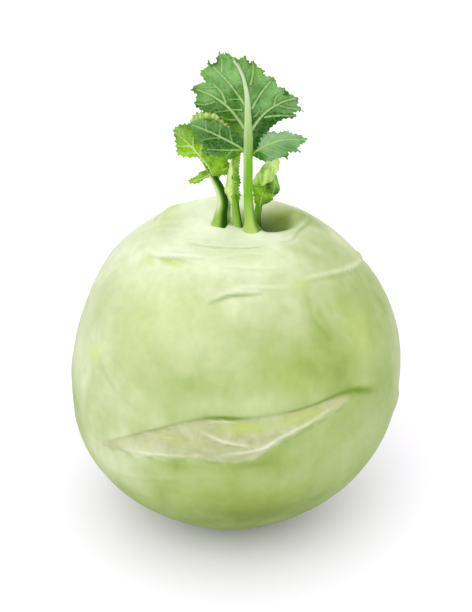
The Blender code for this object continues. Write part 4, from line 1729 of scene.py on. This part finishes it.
    def build(self, stalk_finish: bpy.types.Material, blade_finish: bpy.types.Material) -> None:
        """Make the leaf.

        Args:
            stalk_finish: The stalk's material.
            blade_finish: The material of the blade and its lobes.
        """
        self.stalk().build(stalk_finish)
        for blade in (self.blade(), *self.lobes()):
            blade.build(blade_finish)


@dataclass
class MiddleLeaf:
    """The young folded leaf between the stalks, with the dry stub of a bud beside it."""

    def stalks(self) -> Sequence[Stalk]:
        """The round pieces.

        Returns:
            The leaf's stalk, its folded back, and the bud's stub.
        """
        stem = Stalk(
            "middle_stalk", ("middle_leaf_stalk",),
            points=((0.5, 0.5, -4.5, 1), (0.5, 0.5, 1, 1), (0, 1, 6.5, 1), (-0.5, 1, 9.5, 0.9),),
            flare=(0.55, 2.5), deep_and_shade=1.0, shade_from=0.3, pale=0.5, rise=(0.1, 0.4),
        )
        keel = Stalk(
            "middle_folded_leaf", ("middle_leaf_blade",),
            points=(
                (0, 1, 5.5, 0.8), (-1, 1.5, 10, 1.7), (-1, 1.5, 13, 1.6), (-0.5, 1.5, 17.5, 1.3),
                (0.5, 2, 22.5, 0.6),
            ),
            slot=Slot.YOUNG_LEAF, flatness=0.7, groove=0.22, groove_turn=-60.0, deep_and_shade=0.3, shade_from=0.5,
            fresh=1.0, streaks=1.0, crumple=0.3, rings=0.25, sides=44,
        )
        stub = Stalk(
            "bud_stub_tip", ("bud_stub",),
            points=(
                (-2.5, 3.5, -3.5, 1.5), (-2, 4, 2.5, 0.75), (-2, 4, 4, 0.75), (-2.5, 4, 5.5, 1.05),
                (-2.5, 4, 6.5, 0.7),
            ),
            slot=Slot.YOUNG_LEAF, fresh=1.0, streaks=0.6, crumple=0.2, deep_and_shade=1.2, shade_from=-2.0,
            shade_until=(0.5, 0.75),
        )
        return stem, keel, stub

    def margin(self) -> Blade:
        """The dark toothed margin down the folded leaf's right side.

        Returns:
            The margin.
        """
        return Blade(
            "middle_leaf_margin", "", Slot.YOUNG_LEAF, (0, 1, 6.5),
            outline=((-0.5, -1), (1, 0.5), (1.5, 3), (1, 5), (1.5, 7), (1, 10), (1.5, 15.5), (0, 16),
                     (-1, 10), (-1, 1)),
            ribs=(Rib((-0.5, 0.5), (0, 14), 0.3, 0.3, 0.2),),
            deep_and_shade=(Spot(1.4, 2.4, 0.9, 0.8), Spot(1.6, 5.2, 0.9, 1.0), Spot(1.5, 7.6, 0.9, 1.0),
                  Spot(1.2, 10.2, 0.7, 0.9), Spot(0.8, 0.0, 0.8, 0.9)),
            fresh=(Spot(-0.2, 6, 3, 0.5), Spot(0.8, 14, 2.4, 0.9)), light=(Spot(0.6, 13.4, 1.6, 0.9),),
            ruffle=0.5, ruffle_length=1.2, crumple=0.6, crumple_size=1.4, teeth=0.26, tooth_length=0.9,
            spacing=0.22, seed=43,
        )

    def build(self, stalk_finish: bpy.types.Material, leaf_finish: bpy.types.Material) -> None:
        """Make the leaf.

        Args:
            stalk_finish: The stalk's material.
            leaf_finish: The material of the folded leaf, its margin and the stub.
        """
        stem, keel, stub = self.stalks()
        stem.build(stalk_finish)
        keel.build(leaf_finish)
        stub.build(leaf_finish)
        self.margin().build(leaf_finish)


@dataclass
class RightLeaf:
    """The young leaf on the right, still curled: a pale rolled back, a crumpled blade and a pouched lobe."""

    def stalks(self) -> Sequence[Stalk]:
        """The round pieces.

        Returns:
            The leaf's stalk and its rolled back.
        """
        stem = Stalk(
            "right_stalk", ("right_leaf_stalk",),
            points=((6, 5, -8, 2), (6, 5, 0, 1.2), (6.5, 5, 3, 1), (7, 5, 6.5, 1), (8.5, 5, 11, 0.9),),
            deep_and_shade=0.9, shade_from=-0.6, shade_until=(0.3, 0.7), rise=(0.0, 0.5),
        )
        roll = Stalk(
            "right_rolled_back", ("right_leaf_blade",),
            points=(
                (10.5, 5, 20.5, 1.4), (10, 4.5, 16.5, 2.1), (8.5, 4, 14, 2.1), (7, 4, 12.5, 1.9),
                (5, 4, 11.5, 0.8),
            ),
            slot=Slot.YOUNG_LEAF, flatness=0.6, groove=0.12, groove_turn=-70.0, fresh=0.95, streaks=1.0,
            crumple=0.26, rings=0.25, sides=44,
        )
        return stem, roll

    def blades(self) -> Sequence[Blade]:
        """The flat pieces.

        Returns:
            The crumpled lower lobe and the pouched lobe.
        """
        lower = Blade(
            "right_lower_lobe", "right_leaf_lower_lobe", Slot.YOUNG_LEAF, (7.5, 4, 5),
            outline=((-2, 0.5), (-2.5, 3), (-3, 5), (-2.5, 7), (0, 7), (2, 6.5), (3.5, 5), (3.5, 2.5),
                     (2.5, 1), (0, -0.5), (-1, -1)),
            ribs=(Rib((-0.5, -0.5), (1, 6), 0.3, 0.3, 0.14),),
            dents=(Spot(-1.2, 4.2, 1.1, -1.1), Spot(0.6, 4.4, 0.9, 1.2), Spot(2.4, 2.6, 1.0, -0.9),
                   Spot(0.8, 0.4, 0.8, 0.8)),
            deep_and_shade=(Spot(-0.6, 6.4, 1.2, 1.0), Spot(1.6, 5.4, 1.0, 0.9), Spot(0.8, 3.8, 0.8, 0.9),
                  Spot(1.2, 0.4, 1.2, 0.8),
                  Spot(3.2, 4.6, 1.0, 0.9), Spot(-2.4, 2.0, 0.8, 0.8), Spot(2.6, 1.2, 0.9, 0.6)),
            fresh=(Spot(-1.2, 3.6, 2.4, 1.2), Spot(2.2, 2.6, 1.4, 0.9)),
            ruffle=0.6, ruffle_length=1.8, crumple=0.9, crumple_size=2.0, teeth=0.22, spacing=0.22, seed=53,
        )
        pouch = Blade(
            "right_pouched_lobe", "right_leaf_pouch_lobe", Slot.YOUNG_LEAF, (10, 4, 14),
            outline=((-0.5, 1), (0.5, 1), (1.5, 0), (2, -2), (2.5, -4), (2, -5.5), (0.5, -6.5),
                     (-1, -7.5), (-2, -7), (-1, -2.5)),
            ribs=(Rib((0.5, 0.5), (0, -6.5), 0.7, 0.3, 0.16), Rib((1, -2), (2, -4), 0.1, 0.2, 0.14)),
            cup=1.6, deep_and_shade=(Spot(-1.3, -3.5, 1.0, 1.0), Spot(1.0, 0.7, 0.5, 0.9), Spot(0.6, -5.6, 1.6, 0.5),
            Spot(1, -3, 3, 0.25)),
            fresh=(Spot(0.8, -1.2, 1.4, 0.35),), light=(Spot(0.9, -1.8, 1.2, 0.6),),
                   ruffle=0.15, crumple=0.15,
            teeth=0.03, puff=0.15, rib_shade=0.1, rim=0.2, spacing=0.24, seed=59,
        )
        return lower, pouch

    def build(self, stalk_finish: bpy.types.Material, leaf_finish: bpy.types.Material) -> None:
        """Make the leaf.

        Args:
            stalk_finish: The stalk's material.
            leaf_finish: The material of its curled parts.
        """
        stem, roll = self.stalks()
        stem.build(stalk_finish)
        roll.build(leaf_finish)
        for blade in self.blades():
            blade.build(leaf_finish)


@dataclass
class Crown:
    """All the leaves, with the finishes that they share."""

    back: LeafFinish = LeafFinish(
        "leaf_back_finish", blade=srgb(80, 130, 42), bloom=srgb(112, 158, 92), light=srgb(136, 176, 100),
        deep_and_shade=srgb(24, 84, 0), fresh=srgb(100, 160, 6), rib=srgb(162, 194, 124), rib_fresh=srgb(160, 194, 84),
    )
    face: LeafFinish = LeafFinish(
        "leaf_face_finish", blade=srgb(102, 146, 88), bloom=srgb(122, 160, 114), light=srgb(148, 182, 142),
        deep_and_shade=srgb(28, 104, 0), fresh=srgb(114, 166, 36), rib=srgb(160, 190, 106),
        rib_fresh=srgb(164, 196, 78),
    )
    young: LeafFinish = LeafFinish(
        "young_leaf_finish", blade=srgb(98, 152, 26), bloom=srgb(120, 168, 56), light=srgb(156, 192, 96),
        deep_and_shade=srgb(22, 66, 0), fresh=srgb(124, 174, 0), rib=srgb(172, 200, 104), rib_fresh=srgb(198, 222, 140),
    )
    stalk: StalkFinish = StalkFinish()

    def build(self) -> None:
        """Make every leaf."""
        finishes = (self.stalk, self.back, self.face, self.young)
        stalk, back, face, young = (finish.build() for finish in finishes)
        FrontLeaf().build(stalk, back, face)
        LeftLeaf().build(stalk, young)
        MiddleLeaf().build(stalk, young)
        RightLeaf().build(stalk, young)


# ---------------------------------------------------------------------------------------------------------
# The studio


@dataclass
class Studio:
    """A white floor, an even white room, one wide soft light from above, and the camera.

    The floor's side, the lamp's side and the lamp's place are in metres.
    """

    floor_side: float = 8.0
    floor_colour: Sequence[float] = (0.9, 0.87, 0.94, 1.0)
    room: float = 1.25
    lamp_power: float = 5.3
    lamp_side: float = 1.1
    lamp_place: Sequence[float] = (-0.35, -0.9, 0.8)
    elevation: float = 30.0
    distance: float = 600.0
    lens: float = 121.4
    aim_offset: Sequence[float] = (0.2, 8.8, 15.8)

    def lay_floor(self) -> None:
        """Lay the floor."""
        half = self.floor_side / 2
        mesh = bpy.data.meshes.new("floor")
        corners = [(-half, -half, 0), (half, -half, 0), (half, half, 0), (-half, half, 0)]
        mesh.from_pydata(corners, [], [(0, 1, 2, 3)])
        floor = bpy.data.objects.new("floor", mesh)
        bpy.context.scene.collection.objects.link(floor)
        wires = Wiring("floor_paper")
        wires.give(wires.shader.inputs["Base Color"], tuple(self.floor_colour))
        wires.give(wires.shader.inputs["Roughness"], 1.0)
        wires.give(wires.shader.inputs["Specular IOR Level"], 0.0)
        mesh.materials.append(wires.material)

    def light(self) -> None:
        """Light the room evenly and hang the lamp."""
        world = bpy.data.worlds.new("room")
        world.use_nodes = True
        background = world.node_tree.nodes["Background"]
        background.inputs["Color"].default_value = (1.0, 1.0, 1.0, 1.0)
        background.inputs["Strength"].default_value = self.room
        bpy.context.scene.world = world
        lamp = bpy.data.lights.new("soft_lamp", "AREA")
        lamp.shape = "SQUARE"
        lamp.size = self.lamp_side
        lamp.energy = self.lamp_power
        holder = bpy.data.objects.new("soft_lamp", lamp)
        holder.location = self.lamp_place
        holder.rotation_euler = (-holder.location).to_track_quat("-Z", "Y").to_euler()
        bpy.context.scene.collection.objects.link(holder)

    def stand_camera(self) -> None:
        """Stand the camera in front, looking down at the bulb."""
        low, high = (np.array(corner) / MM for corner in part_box("bulb"))
        aim = Vector(((low + high) / 2 + np.array(self.aim_offset)) * MM)
        rise = math.radians(self.elevation)
        away = Vector((0.0, -math.cos(rise), math.sin(rise))) * self.distance * MM
        camera = bpy.data.cameras.new("camera")
        camera.lens = self.lens
        camera.clip_start = 0.01
        holder = bpy.data.objects.new("camera", camera)
        holder.location = aim + away
        holder.rotation_euler = (-away).to_track_quat("-Z", "Y").to_euler()
        bpy.context.scene.collection.objects.link(holder)
        bpy.context.scene.camera = holder
        bpy.context.scene.view_settings.view_transform = "Standard"

    def build(self) -> None:
        """Set the studio up."""
        self.lay_floor()
        self.light()
        self.stand_camera()


def main() -> None:
    """Build the kohlrabi and its studio."""
    logging.basicConfig(level=logging.INFO, format="%(name)s: %(message)s")
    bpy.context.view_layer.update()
    Bulb().build()
    Crown().build()
    Studio().build()
    bpy.context.view_layer.update()


if __name__ == "__main__":
    main()
